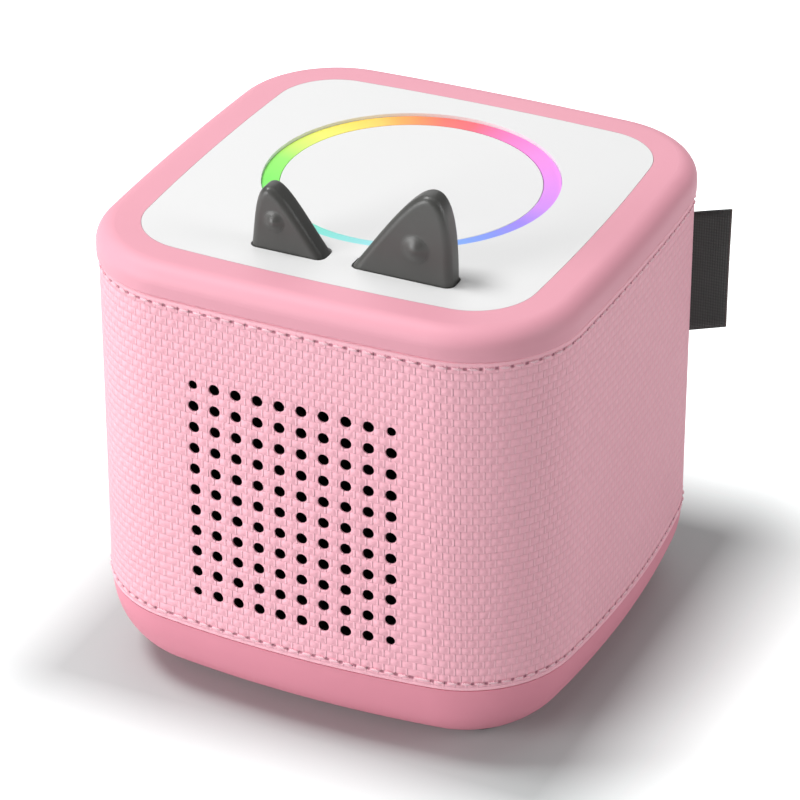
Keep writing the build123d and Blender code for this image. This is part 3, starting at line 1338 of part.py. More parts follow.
with BuildPart() as shield_can:
    with BuildSketch(facing_front(board_front)):
        with Locations((SHIELD_X, board_middle - SHIELD_BELOW)):
            RectangleRounded(SHIELD_WIDTH, SHIELD_LENGTH, SHIELD_CORNER)
    extrude(amount=SHIELD_HEIGHT)
    with BuildSketch(facing_front(board_front)):
        with Locations((SHIELD_X, board_middle - SHIELD_BELOW)):
            Rectangle(SHIELD_WIDTH - 2 * SHIELD_SKIN, SHIELD_LENGTH - 2 * SHIELD_SKIN)
    extrude(amount=SHIELD_HEIGHT - SHIELD_SKIN, mode=Mode.SUBTRACT)
shield_can.part.label = "shield_can"
export_step(shield_can.part, "parts/shield_can.step")

# Sockets on the board's rear, reaching out through the housing to the bezel.
socket_mouth = port_face - PORT_RECESS
with BuildPart() as headphone_socket:
    with BuildSketch(facing_front(board_rear)):
        with Locations((JACK_X, PORT_HEIGHT)):
            Rectangle(JACK_BODY, JACK_BODY)
    extrude(amount=-(housing_half - HOUSING_WALL - board_rear))
    with BuildSketch(facing_front(board_rear)):
        with Locations((JACK_X, PORT_HEIGHT)):
            Circle(JACK_BARREL_RADIUS)
    extrude(amount=-(socket_mouth - board_rear))
    with BuildSketch(facing_front(socket_mouth)):
        with Locations((JACK_X, PORT_HEIGHT)):
            Circle(JACK_BORE_RADIUS)
    extrude(amount=JACK_BORE_LENGTH, mode=Mode.SUBTRACT)
headphone_socket.part.label = "headphone_socket"
export_step(headphone_socket.part, "parts/headphone_socket.step")

with BuildPart() as usb_socket:
    with BuildSketch(facing_front(board_rear)):
        with Locations((USB_X, PORT_HEIGHT)):
            SlotOverall(USB_WIDTH, USB_HEIGHT)
    extrude(amount=-(socket_mouth - board_rear))
    with BuildSketch(facing_front(board_rear + USB_BACK)):
        with Locations((USB_X, PORT_HEIGHT)):
            SlotOverall(USB_WIDTH - 2 * USB_SHELL, USB_HEIGHT - 2 * USB_SHELL)
            Rectangle(USB_TONGUE_WIDTH, USB_TONGUE, mode=Mode.SUBTRACT)
    extrude(amount=-port_face, mode=Mode.SUBTRACT)
    with BuildSketch(facing_front(socket_mouth)):
        with Locations((USB_X, PORT_HEIGHT)):
            Rectangle(USB_TONGUE_WIDTH, USB_TONGUE)
    extrude(amount=USB_TONGUE_SINK, mode=Mode.SUBTRACT)
usb_socket.part.label = "usb_socket"
export_step(usb_socket.part, "parts/usb_socket.step")

# Port bezel: a pill-shaped face in the cover, with a flange behind the padding.
flange_plane_y = housing_half + SOFT_GAP
with BuildPart() as port_bezel:
    with BuildSketch(facing_front(flange_plane_y)):
        with Locations((0, PORT_HEIGHT)):
            SlotOverall(port_flange_length, port_flange_width)
    extrude(amount=-PORT_FLANGE_THICK)
    with BuildSketch(facing_front(flange_plane_y)):
        with Locations((0, PORT_HEIGHT)):
            SlotOverall(PORT_LENGTH, PORT_WIDTH)
    extrude(amount=-(port_face - flange_plane_y))
    fillet(port_bezel.faces().sort_by(Axis.Y)[-1].edges(), radius=PORT_EDGE)
    with BuildSketch(facing_front(flange_plane_y)):
        with Locations((JACK_X, PORT_HEIGHT)):
            Circle(JACK_BARREL_RADIUS + PORT_HOLE_GAP)
        with Locations((USB_X, PORT_HEIGHT)):
            SlotOverall(USB_WIDTH + 2 * PORT_HOLE_GAP, USB_HEIGHT + 2 * PORT_HOLE_GAP)
    extrude(amount=-port_face, mode=Mode.SUBTRACT)
port_bezel.part.label = "port_bezel"
export_step(port_bezel.part, "parts/port_bezel.step")

# Wire connectors on the board's front: batteries, speaker and light ring.
ring_connector_low = BOARD_LOW + BOARD_HEIGHT - RING_CONNECTOR_DROP
with BuildPart() as board_connectors:
    with BuildSketch(facing_front(board_front)):
        with Locations(
            (CONNECTOR_X, CONNECTOR_LOW + CONNECTOR_HEIGHT / 2),
            (-CONNECTOR_X, CONNECTOR_LOW + CONNECTOR_HEIGHT / 2),
            (CONNECTOR_X, ring_connector_low + CONNECTOR_HEIGHT / 2),
        ):
            Rectangle(CONNECTOR_WIDTH, CONNECTOR_HEIGHT)
    extrude(amount=CONNECTOR_DEPTH)
board_connectors.part.label = "board_connectors"
export_step(board_connectors.part, "parts/board_connectors.step")

# ================================================================ wires
wire_y = board_front - CONNECTOR_DEPTH / 2
terminal_rear = flange_rear + TERMINAL_DEPTH
tray_lie = tray_top + LEAD_RADIUS + SEAT_GAP
ring_connector_top = ring_connector_low + CONNECTOR_HEIGHT
# The speaker's lead sinks from its terminal onto the battery tray. For each bend: its share
# of the way across to the connector and of the way back to it, and its lift off the tray.
speaker_lead_bends = [(0.29, 0.236, 3), (0.64, 0.44, 0.4), (0.86, 0.64, 0.8), (0.96, 0.833, 1)]
lead_way = wire_y - terminal_rear
wire_routes = {
    "battery_lead": [
        (CONNECTOR_X, tray_outer_width / 2, cell_axis + BATTERY_LEAD_RISE),
        (CONNECTOR_X, wire_y, cell_axis + BATTERY_LEAD_RISE),
        (CONNECTOR_X, wire_y, CONNECTOR_LOW),
    ],
    "speaker_lead": [
        (0, terminal_rear, terminal_z),
        (0, terminal_rear + SPEAKER_LEAD_REACH, terminal_z),
        *[(-CONNECTOR_X * across, terminal_rear + lead_way * back, tray_lie + LEAD_LIFT * lift)
          for across, back, lift in speaker_lead_bends],
        (-CONNECTOR_X, wire_y, tray_lie - LEAD_DIP),
        (-CONNECTOR_X, wire_y, CONNECTOR_LOW),
    ],
    "ring_lead": [
        (*plug_place, chassis_top - CONNECTOR_DEPTH),
        (*plug_place, chassis_top - CONNECTOR_DEPTH - RING_LEAD_REACH),
        (CONNECTOR_X, wire_y, ring_connector_top + BOARD_LEAD_REACH),
        (CONNECTOR_X, wire_y, ring_connector_top),
    ],
}


def bend_radii(points):
    """For each inner point of a route, the largest arc that its two runs leave room for."""
    places = [Vector(*point) for point in points]
    radii = []
    for before, here, after in zip(places, places[1:], places[2:]):
        run_in = here - before
        run_out = after - here
        half_turn = radians(run_in.get_angle(run_out)) / 2
        radii.append(0.45 * min(run_in.length, run_out.length) / tan(half_turn))
    return radii


for name, points in wire_routes.items():
    radii = bend_radii(points)
    start = Vector(*points[0])
    with BuildPart() as lead:
        with BuildLine():
            route = FilletPolyline(*points, radius=radii)
        with BuildSketch(Plane(origin=start, z_dir=Vector(*points[1]) - start)):
            Circle(LEAD_RADIUS)
        sweep()
    expected = pi * LEAD_RADIUS**2 * route.length
    print(name, "radii", [round(radius, 1) for radius in radii], "length", round(route.length, 1),
          "volume share", round(lead.part.volume / expected, 4))
    lead.part.label = name
    export_step(lead.part, f"parts/{name}.step")
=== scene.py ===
# %% [markdown]
# # Dressing an audio story player
#
# The player is a padded cube with a woven cover, a plastic rim and cup, a white top with a ring
# of light, and two soft ears that are pressed to change the volume. Its hard pieces come ready
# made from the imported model. This lesson gives them finishes, and makes the pieces of cloth.
#
# Everything is in metres. +Z is up, the speaker faces -Y, and the origin is on the table under
# the middle of the box.

# %% Load the frame
import json
from math import asin, atan2, cos, pi, radians, sin, sqrt, tau

import bmesh
import bpy
from mathutils import Matrix, Vector


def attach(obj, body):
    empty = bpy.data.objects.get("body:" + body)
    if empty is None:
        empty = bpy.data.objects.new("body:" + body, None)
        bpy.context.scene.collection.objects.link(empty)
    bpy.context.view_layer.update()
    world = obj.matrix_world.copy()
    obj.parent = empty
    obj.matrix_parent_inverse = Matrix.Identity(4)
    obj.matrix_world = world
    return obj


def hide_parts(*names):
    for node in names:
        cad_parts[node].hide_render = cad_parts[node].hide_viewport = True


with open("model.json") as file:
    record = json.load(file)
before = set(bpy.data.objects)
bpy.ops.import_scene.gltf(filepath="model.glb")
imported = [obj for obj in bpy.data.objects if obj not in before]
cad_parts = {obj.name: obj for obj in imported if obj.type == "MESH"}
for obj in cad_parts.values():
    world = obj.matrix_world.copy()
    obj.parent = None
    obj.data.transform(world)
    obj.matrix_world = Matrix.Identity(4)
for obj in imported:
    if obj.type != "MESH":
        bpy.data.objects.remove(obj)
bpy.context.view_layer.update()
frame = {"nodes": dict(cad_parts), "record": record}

MM = 0.001

# %% [markdown]
# ## The camera first
#
# A long lens flattens perspective, as product pictures do. The camera stands to the right of
# the front and looks down by about thirty degrees. It is aimed with a quaternion that turns its
# -Z axis towards the target and keeps its Y axis up.

# %% Camera
CAMERA_AT = Vector((0.31826, -0.68326, 0.49396))
CAMERA_TARGET = Vector((0.00446, -0.01036, 0.06397))
LENS_MM = 163.03

camera_data = bpy.data.cameras.new("camera")
camera_data.lens = LENS_MM
camera_data.sensor_width = 36.0
camera_data.clip_start = 0.05
camera = bpy.data.objects.new("camera", camera_data)
camera.location = CAMERA_AT
camera.rotation_euler = (CAMERA_TARGET - CAMERA_AT).to_track_quat("-Z", "Y").to_euler()
bpy.context.scene.collection.objects.link(camera)
bpy.context.scene.camera = camera
print("camera", [round(v, 3) for v in camera.location], "distance",
      round((CAMERA_TARGET - CAMERA_AT).length, 3))

# %% [markdown]
# ## Light, floor and background
#
# Soft light shows shape without hard edges. A panel above and to the left casts the shadow, a
# wide one overhead softens it, one at the front left lights the speaker side, and a weaker one
# shapes the right side. A fifth, low behind, mirrors in the top and gives it its pale gloss. A dim
# world keeps the shade from going black.

# %% Colours as they are seen


def seen(red, green, blue):
    """A colour given as it is seen on a screen, 0 to 255, turned into Blender's linear light."""
    def linear(channel):
        share = channel / 255
        return share / 12.92 if share <= 0.04045 else ((share + 0.055) / 1.055) ** 2.4
    return (linear(red), linear(green), linear(blue), 1.0)


# %% Lamps and world


def panel(name, place, aim, size, watts):
    """A square white lamp of a given size, aimed at a point."""
    data = bpy.data.lights.new(name, "AREA")
    data.shape = "SQUARE"
    data.size = size
    data.energy = watts
    lamp = bpy.data.objects.new(name, data)
    lamp.location = place
    lamp.rotation_euler = (Vector(aim) - Vector(place)).to_track_quat("-Z", "Y").to_euler()
    bpy.context.scene.collection.objects.link(lamp)
    return lamp


BOX_MIDDLE = (0.0, 0.0, 0.07)
panel("key", (-0.60, -0.18, 1.20), BOX_MIDDLE, 0.42, 11.3)
panel("overhead", (0.0, 0.10, 1.40), BOX_MIDDLE, 1.20, 4.4)
panel("front_left", (-0.72, -1.04, 0.36), BOX_MIDDLE, 0.60, 11.8)
panel("right_side", (1.12, 0.12, 0.46), BOX_MIDDLE, 0.60, 4.9)
panel("back", (-0.55, 1.15, 0.80), BOX_MIDDLE, 1.00, 3.2)

world = bpy.data.worlds.new("studio")
world.use_nodes = True
background = world.node_tree.nodes["Background"]
background.inputs["Color"].default_value = (1.0, 1.0, 1.0, 1.0)
background.inputs["Strength"].default_value = 0.06
bpy.context.scene.world = world
bpy.context.scene.view_settings.view_transform = "Standard"

# %% [markdown]
# ## Shader sums in plain Python
#
# A pattern such as a weave is arithmetic on coordinates. Wiring Math nodes by hand is slow to
# read, so a small class wraps a socket, and Python's own signs add the nodes. One method makes
# every other node: it sets what the node is first, and then its sockets.

# %% A socket that can be used in sums


class Sum:
    """A number in a material. +, -, *, / and the methods below add Math nodes."""

    def __init__(self, finish, socket):
        self.finish = finish
        self.socket = socket

    def math(self, operation, *others):
        return self.finish.number("ShaderNodeMath", {"operation": operation}, self, *others)

    def __add__(self, other): return self.math("ADD", other)
    def __radd__(self, other): return self.math("ADD", other)
    def __mul__(self, other): return self.math("MULTIPLY", other)
    def __rmul__(self, other): return self.math("MULTIPLY", other)
    def __sub__(self, other): return self.math("SUBTRACT", other)
    def __rsub__(self, other): return (self * -1.0) + other
    def __truediv__(self, other): return self.math("DIVIDE", other)
    def sine(self): return self.math("SINE")
    def cosine(self): return self.math("COSINE")
    def floor(self): return self.math("FLOOR")
    def part(self): return self.math("FRACT")
    def size(self): return self.math("ABSOLUTE")
    def root(self): return self.math("SQRT")
    def at_least(self, other): return self.math("MAXIMUM", other)
    def at_most(self, other): return self.math("MINIMUM", other)

    def rise(self, low, high):
        """0 below low, 1 above high, and smooth between."""
        settings = {"interpolation_type": "SMOOTHSTEP"}
        return self.finish.number("ShaderNodeMapRange", settings, self, low, high)


class Finish:
    """One material with a Principled shader, built up node by node."""

    def __init__(self, name, base, roughness, **fixed):
        self.material = bpy.data.materials.new(name)
        self.material.use_nodes = True
        self.tree = self.material.node_tree
        self.shader = self.tree.nodes["Principled BSDF"]
        self.set(Base_Color=base, Roughness=roughness, **fixed)

    def set(self, **sockets):
        """Sets or links the shader's sockets; an underscore stands for a space."""
        for name, value in sockets.items():
            self.feed(self.shader.inputs[name.replace("_", " ")], value)
        return self

    def feed(self, socket, value):
        if isinstance(value, Sum):
            self.tree.links.new(value.socket, socket)
        elif isinstance(value, bpy.types.NodeSocket):
            self.tree.links.new(value, socket)
        else:
            socket.default_value = value

    def node(self, kind, settings, *values, **named):
        """Any node: its settings are set first, then its sockets in order or by name."""
        made = self.tree.nodes.new(kind)
        for key, value in settings.items():
            if key == "stops":
                ramp = made.color_ramp
                while len(ramp.elements) < len(value):
                    ramp.elements.new(0.5)
                for element, (place, colour) in zip(ramp.elements, value):
                    element.position = place
                    element.color = colour
            else:
                setattr(made, key, value)
        for socket, value in zip(made.inputs, values):
            self.feed(socket, value)
        for key, value in named.items():
            self.feed(made.inputs[key.replace("_", " ")], value)
        return made

    def number(self, kind, settings, *values, **named):
        """A node whose first output is used in sums."""
        return Sum(self, self.node(kind, settings, *values, **named).outputs[0])

    def place(self):
        """The point on the piece, in metres: x, y and z."""
        point = self.node("ShaderNodeTexCoord", {}).outputs["Object"]
        split = self.node("ShaderNodeSeparateXYZ", {}, point)
        return [Sum(self, split.outputs[axis]) for axis in "XYZ"]

    def along(self, uv_name):
        """The point on a piece of cloth, in metres along and up it."""
        point = self.node("ShaderNodeUVMap", {"uv_map": uv_name}).outputs["UV"]
        split = self.node("ShaderNodeSeparateXYZ", {}, point)
        return Sum(self, split.outputs["X"]), Sum(self, split.outputs["Y"])

    def noise(self, per_metre, detail=2.0, rough=0.5):
        """Cloudy noise from 0 to 1, with that many lumps to the metre."""
        point = self.node("ShaderNodeTexCoord", {}).outputs["Object"]
        return self.number("ShaderNodeTexNoise", {}, Vector=point, Scale=per_metre,
                           Detail=detail, Roughness=rough)

    def blend(self, share, first, second):
        """A colour between two: share 0 is the first, 1 the second."""
        made = self.node("ShaderNodeMix", {"data_type": "RGBA"})
        self.feed(made.inputs[0], share)
        self.feed(made.inputs[6], first)
        self.feed(made.inputs[7], second)
        return made.outputs[2]

    def relief(self, height, metres, strength=1.0):
        """Bends the normal as if the surface rose by height times metres."""
        bump = self.node("ShaderNodeBump", {}, Strength=strength, Distance=metres, Height=height)
        return self.set(Normal=bump.outputs["Normal"])


# %% [markdown]
# ## Moulded plastic
#
# The rim, the cup and the white top are injection moulded with a fine satin grain. Two scales of
# noise do it: a broad one that changes the gloss a little, as handling does, and a fine one as
# the grain of the mould.

# %% Plastics


def moulded(name, colour, gloss, grain=0.000012, tint=0.035, **fixed):
    """Satin moulded plastic with a fine grain and a faint unevenness of colour and gloss."""
    finish = Finish(name, colour, gloss, **fixed)
    cloud = finish.noise(22.0, 3.0)
    darker = tuple(channel * (1 - 2 * tint) for channel in colour[:3]) + (1.0,)
    finish.set(Base_Color=finish.blend(cloud, colour, darker))
    finish.set(Roughness=(cloud - 0.5) * 0.16 + gloss)
    fine = finish.noise(2600.0, 2.0, 0.6)
    return finish.relief(fine, grain)


RIM_PINK = seen(234, 164, 180)
CUP_PINK = seen(234, 149, 168)
finishes = {
    "rim_plastic": moulded("satin_rim", RIM_PINK, 0.56, Specular_IOR_Level=0.38),
    "cup_plastic": moulded("satin_cup", CUP_PINK, 0.58, Specular_IOR_Level=0.38),
    "white_plastic": moulded("satin_white", seen(229, 229, 229), 0.50, tint=0.01),
    "black_plastic": moulded("matt_black", seen(26, 26, 27), 0.62),
}
print("plastics", sorted(finishes))

# %% [markdown]
# ## The ring of light
#
# The ring is frosted plastic over sixteen coloured lamps, so its colour runs round the circle
# like a rainbow. The angle about the ring's middle, from an arctangent, drives a colour ramp. It
# feeds both the colour and a gentle glow, which keeps its hues clear in bright rooms.

# %% Rainbow
RING_MIDDLE_Y = 5.6 * MM
rainbow = [
    (0, (206, 138, 239)), (25, (228, 140, 236)), (50, (240, 138, 222)), (66, (243, 124, 200)),
    (79, (240, 112, 165)), (88, (240, 104, 118)), (101, (241, 116, 104)), (111, (246, 145, 90)),
    (120, (250, 172, 86)), (128, (252, 205, 98)), (141, (250, 224, 98)), (156, (236, 238, 108)),
    (171, (204, 241, 110)), (183, (152, 240, 108)), (205, (128, 238, 100)), (232, (120, 228, 160)),
    (256, (128, 226, 214)), (278, (152, 226, 230)), (300, (136, 196, 240)), (314, (122, 166, 246)),
    (328, (126, 148, 243)), (345, (156, 130, 243)), (359, (202, 138, 240)),
]


def ring_of_light():
    finish = Finish("frosted_rainbow", (1, 1, 1, 1), 0.45)
    across, deep, _ = finish.place()
    angle = finish.number("ShaderNodeMath", {"operation": "ARCTAN2"}, deep - RING_MIDDLE_Y, across)
    turn = (angle / tau + 1.0).part()
    stops = [(degrees / 360, seen(*colour)) for degrees, colour in rainbow]
    ramp = finish.node("ShaderNodeValToRGB", {"stops": stops}, turn).outputs["Color"]
    finish.set(Base_Color=ramp, Emission_Color=ramp, Emission_Strength=0.05)
    return finish.relief(finish.noise(1800.0), 0.00001)


finishes["diffuser"] = ring_of_light()
print("rainbow stops", len(rainbow))

# %% [markdown]
# ## Soft rubber, steel and the rest
#
# The ears are dark grey silicone: matt, with a faint dust of lighter spots. The inside pieces
# are seldom seen, but each still gets the finish of its stuff: brushed steel has fine streaks,
# a circuit board has copper tracks under green lacquer, and foam has open cells.

# %% Rubber


def rubber(name, colour, gloss, lighter):
    """Matt rubber with a velvety grain and a faint bloom."""
    finish = Finish(name, colour, gloss, Sheen_Weight=0.05, Sheen_Roughness=0.5)
    bloom = finish.noise(60.0, 4.0, 0.6)
    finish.set(Base_Color=finish.blend(bloom, colour, lighter))
    return finish.relief(finish.noise(4200.0, 2.0, 0.7), 0.00002)


finishes["ear_rubber"] = rubber("ear_silicone", seen(67, 67, 65), 0.38, seen(74, 74, 72))
finishes["foot_rubber"] = rubber("black_rubber", seen(34, 34, 34), 0.75, seen(44, 44, 44))
finishes["wire_rubber"] = rubber("wire_cover", seen(150, 34, 34), 0.45, seen(165, 42, 40))

# %% Metals and boards


def metal(name, colour, gloss, streaks=(1.0, 1.0, 14.0)):
    """Metal with fine streaks left by rolling or turning."""
    finish = Finish(name, colour, gloss, Metallic=1.0)
    point = finish.node("ShaderNodeTexCoord", {}).outputs["Object"]
    turned = finish.node("ShaderNodeMapping", {}, Vector=point, Scale=streaks).outputs["Vector"]
    lines = finish.number("ShaderNodeTexNoise", {}, Vector=turned, Scale=900.0, Detail=3.0)
    finish.set(Roughness=(lines - 0.5) * 0.25 + gloss)
    return finish.relief(lines, 0.000006)


def circuit_board():
    """Green lacquer with copper tracks that show through it as lighter lines."""
    finish = Finish("circuit_board", seen(20, 96, 52), 0.3)
    across, deep, up = finish.place()
    wander = finish.noise(160.0) * 0.004
    one_way = ((across + deep + wander) * 420.0).part().rise(0.62, 0.70)
    other_way = ((up + deep - wander) * 420.0).part().rise(0.66, 0.72)
    tracks = one_way.at_least(other_way)
    finish.set(Base_Color=finish.blend(tracks, seen(16, 84, 46), seen(44, 132, 76)))
    return finish.relief(tracks, 0.00003)


def lumpy(name, colour, other, gloss, per_metre, depth):
    """Anything grainy, such as foam, paper or cast ferrite."""
    finish = Finish(name, colour, gloss)
    grains = finish.number("ShaderNodeTexVoronoi", {},
                           Vector=finish.node("ShaderNodeTexCoord", {}).outputs["Object"],
                           Scale=per_metre)
    finish.set(Base_Color=finish.blend(grains, colour, other))
    return finish.relief(grains, depth)


finishes["steel"] = metal("brushed_steel", seen(196, 196, 198), 0.32)
finishes["copper"] = metal("copper", seen(200, 132, 96), 0.3)
finishes["cell_wrap"] = moulded("cell_sleeve", seen(38, 110, 84), 0.3)
finishes["led_plastic"] = moulded("lamp_lens", seen(240, 238, 224), 0.2)
finishes["circuit_board"] = circuit_board()
finishes["foam"] = lumpy("open_foam", seen(120, 120, 124), seen(84, 84, 88), 0.95, 1400.0, 0.0003)
finishes["ferrite"] = lumpy("ferrite", seen(70, 70, 74), seen(52, 52, 55), 0.7, 2600.0, 0.00005)
finishes["cone_paper"] = lumpy("cone_paper", seen(34, 34, 35), seen(48, 48, 48), 0.85, 3000.0,
                               0.00005)
print("finishes", len(finishes))

# %% [markdown]
# ## The woven cover's finish
#
# The cover is a plain weave of flat yarns, each over one and under the next. The upright yarns
# are thin and round, and stand out where they are on top. The level ones are wide, so each length
# between two crossings is a small pillow that dips at its ends. The taller of the two is what
# shows. The height bends the normal. Painted shade also darkens the gaps and the strips beside a
# raised yarn, where little light gets in, and a painted highlight lightens the raised yarns.
# Outside both rows of stitches the folded cloth is pulled flat and looks plain, with a little of
# that painted highlight, and along the rows the needle has made small pits, painted darker as
# shade.
#
# The pattern reads the cover's own UV map, which holds metres along and up the cloth, so it
# follows the wall round the corners without a join.

# %% Weave
COLUMN = 1.43 * MM        # pitch of the upright yarns
ROW = 1.93 * MM           # pitch of the level yarns
SEAM = 20.6 * MM          # height of the cover's lower edge
RIM_LOW = 107.0 * MM      # height of its upper edge
TOP_STITCH = RIM_LOW - 1.6 * MM
FOOT_STITCH = SEAM + 2.3 * MM
UPRIGHT_WIDTH = 0.46      # share of a column that the thin upright yarn takes
UPRIGHT_TOP = 0.64        # heights in the weave, as shares of its depth
LEVEL_TOP = 0.44
LEVEL_DIP = 0.3
WEAVE_DEPTH = 0.4 * MM
PIT_LONG = (0.2 * MM, 0.6 * MM)    # from a pit's middle: where it is dark, and where it ends
PIT_TALL = (0.15 * MM, 0.5 * MM)
PLAIN_ABOVE = (0.2 * MM, 0.8 * MM)     # above the top stitches: where the weave fades out
PLAIN_BELOW = (-1.2 * MM, -0.6 * MM)   # and below the foot's
CLOTH = "cloth"           # name of the UV map


def crossing(columns, rows):
    """Where a place is in the weave: across the upright yarn and across the level one, from -1
    to 1, how much the upright one is on top, from -1 to 1, and the level one's dip below it."""
    beside = columns.part() * 2.0 - 1.0
    above = rows.part() * 2.0 - 1.0
    swap_sides = (columns.floor() * pi).cosine()
    on_top = (rows * pi).sine() * swap_sides
    dip = (columns * pi).sine() * (rows.floor() * pi).cosine()
    return beside, above, on_top, dip


def pits(along, up, stitch_height, pitch):
    """1 at the needle's pits along a row of stitches, 0 elsewhere."""
    beside = ((along / pitch).part() - 0.5).size() * pitch
    above = (up - stitch_height).size()
    return (1.0 - beside.rise(*PIT_LONG)) * (1.0 - above.rise(*PIT_TALL))


def woven(name, light, dark, highlight, pit_shade, top_pitch, foot_pitch, column):
    """A plain weave of thin upright yarns and wide level ones, with pits between the stitches.
    Its gaps, yarn flanks and pits get painted shade, and its raised yarns a painted highlight.
    """
    finish = Finish(name, light, 0.7, Sheen_Weight=0.06, Sheen_Roughness=0.4,
                    Specular_IOR_Level=0.4)
    along, up = finish.along(CLOTH)
    beside, above, on_top, dip = crossing(along / column, up / ROW)
    narrow = (1.0 - (beside / UPRIGHT_WIDTH).math("POWER", 2.0)).at_least(0.0).root()
    upright = narrow * (on_top.rise(-0.25, 0.45) * UPRIGHT_TOP) + (narrow - 1.0) * 0.2
    flat = 1.0 - above * above
    level = flat * (LEVEL_TOP - dip * LEVEL_DIP)
    height = upright.at_least(level)
    fuzz = finish.noise(2400.0, 3.0, 0.7)
    holes = pits(along + SIDE_RUN, up, TOP_STITCH, top_pitch).at_least(
        pits(along + SIDE_RUN, up, FOOT_STITCH, foot_pitch))
    hem = (up - TOP_STITCH).rise(*PLAIN_ABOVE).at_least(
        1.0 - (up - FOOT_STITCH).rise(*PLAIN_BELOW))
    plain = 1.0 - hem * 0.85
    raised = (upright - level).rise(-0.02, 0.2)
    # Painted shade: the gaps between yarns and the strips beside a raised yarn are darkened towards
    # the dark colour. The cloud and fuzz noise add the cloth's own uneven tone.
    gap_shade = (1.0 - flat.rise(0.0, 0.45)) * (1.0 - raised)
    flank_shade = beside.size().rise(UPRIGHT_WIDTH - 0.12, UPRIGHT_WIDTH + 0.06)
    flank_shade = flank_shade * (1.0 - beside.size().rise(UPRIGHT_WIDTH + 0.08, UPRIGHT_WIDTH + 0.34))
    flank_shade = flank_shade * on_top.rise(0.1, 0.6)
    cloud = (finish.noise(18.0) - 0.5) * 0.2
    shade = (gap_shade * 0.16).at_least(flank_shade * 0.10) * plain + cloud + (fuzz - 0.5) * 0.2
    base = finish.blend(shade, light, dark)
    # Painted highlight: where an upright yarn is on top, and on the flat hems, the colour moves
    # towards the lighter highlight colour.
    base = finish.blend(raised.at_least(hem) * 0.25, base, highlight)
    # Painted shade: the needle's pits are darkened towards the pit colour, as shade in the dents.
    finish.set(Base_Color=finish.blend(holes * 0.75, base, pit_shade))
    return finish.relief(height * plain + fuzz * 0.12 - holes * 0.7, WEAVE_DEPTH)


# %% [markdown]
# ## The shape of the wall
#
# Seen from above, the wall is a square with slightly arched sides and round corners, a little
# wider at the foot than at the rim. Walking round it, the direction that the wall faces turns
# steadily: slowly along a side and fast round a corner. So one number, the way along the cloth,
# gives the facing angle, and the angle gives the point.

# %% Outlines


class Outline:
    """A square of arcs: half its width, its corners' radius and its sides' radius."""

    def __init__(self, half, corner, side):
        self.half, self.corner, self.side = half, corner, side
        self.back = side - half
        self.centre = (sqrt(2 * (side - corner) ** 2 - self.back**2) - self.back) / 2
        self.turn = asin(self.centre / (side - corner))
        self.side_run = side * self.turn
        self.corner_run = corner * (pi / 2 - 2 * self.turn)
        self.reach = side * sin(self.turn)

    def facing(self, share, bend):
        """The facing angle: share -1 to 1 is along a side, bend 0 to 1 the corner after it."""
        if bend > 0:
            return self.turn + bend * (pi / 2 - 2 * self.turn)
        return share * self.turn

    def point(self, share, bend):
        angle = self.facing(share, bend)
        if bend > 0:
            return (self.centre + self.corner * sin(angle), -self.centre - self.corner * cos(angle))
        return (self.side * sin(angle), self.back - self.side * cos(angle))


FOOT = Outline(61.6 * MM, 28.3 * MM, 278.0 * MM)
HEAD = Outline(59.8 * MM, 27.4 * MM, 770.0 * MM)
SIDE_RUN = HEAD.side_run
QUARTER = 2 * HEAD.side_run + HEAD.corner_run
AROUND = 4 * QUARTER
STRAIGHT = 30.0 * MM      # on each side of a wall's middle, way along the cloth is just sideways
print("cover is", round(AROUND / MM, 1), "mm round")


def on_wall(along, up, out=0.0):
    """The point at a place on the cloth, in metres along it from the front's middle and above
    the table, and its distance out from the wall."""
    rise = min(1.0, max(0.0, (up - SEAM) / (RIM_LOW - SEAM)))
    quarter = int((along + SIDE_RUN) // QUARTER)
    local = along - quarter * QUARTER
    reach = FOOT.reach + rise * (HEAD.reach - FOOT.reach)
    if local <= SIDE_RUN:
        share = abs(local) / reach
        if abs(local) > STRAIGHT:
            first = STRAIGHT / reach
            share = first + (1 - first) * (abs(local) - STRAIGHT) / (SIDE_RUN - STRAIGHT)
        share = share if local >= 0 else -share
        bend = 0.0
    else:
        share = 1.0
        bend = (local - SIDE_RUN) / HEAD.corner_run
    low, high = FOOT.point(share, bend), HEAD.point(share, bend)
    angle = FOOT.facing(share, bend) * (1 - rise) + HEAD.facing(share, bend) * rise
    x = low[0] + rise * (high[0] - low[0]) + out * sin(angle)
    y = low[1] + rise * (high[1] - low[1]) - out * cos(angle)
    turn = quarter * pi / 2
    return Vector((x * cos(turn) - y * sin(turn), x * sin(turn) + y * cos(turn), up))


# %% [markdown]
# ## Cutting and punching the cover
#
# A cover like this is cut flat, punched, and then wrapped round the padding. The mesh is made in
# the same order: a flat grid whose lines lie where they are needed, holes punched into it by
# joining the small faces of a cell and insetting them, and last the wrap, which moves each
# vertex onto the wall. While the cloth is flat, x is the way along it, z is up, and y is how far
# the cloth stands out.

# %% Lines of the flat cloth
HOLE_PITCH = 5.5 * MM
HOLE_COLUMNS = 10
HOLE_ROWS = 11
HOLE_RADIUS = 1.34 * MM
CORNER_HOLE_RADIUS = 1.08 * MM
FIELD_X = 0.5 * MM
FIELD_Z = 59.2 * MM
CELL_CUTS = 6
PORT_Z = 34.0 * MM
PORT_LENGTH = 32.2 * MM
PORT_WIDTH = 12.2 * MM
LABEL_ANGLE = radians(30.0)
PORT_MARGIN = 2.0 * MM    # cloth round the socket opening that is dissolved with it
PORT_MARGIN_UP = 1.6 * MM
GROOVE_HALF = 0.75 * MM   # the seam that holds the label pulls the cloth into a groove
GROOVE_DEEP = 0.5 * MM


def steps(start, stop, count):
    """Evenly spaced values from start to stop, both included."""
    return [start + (stop - start) * k / count for k in range(count + 1)]


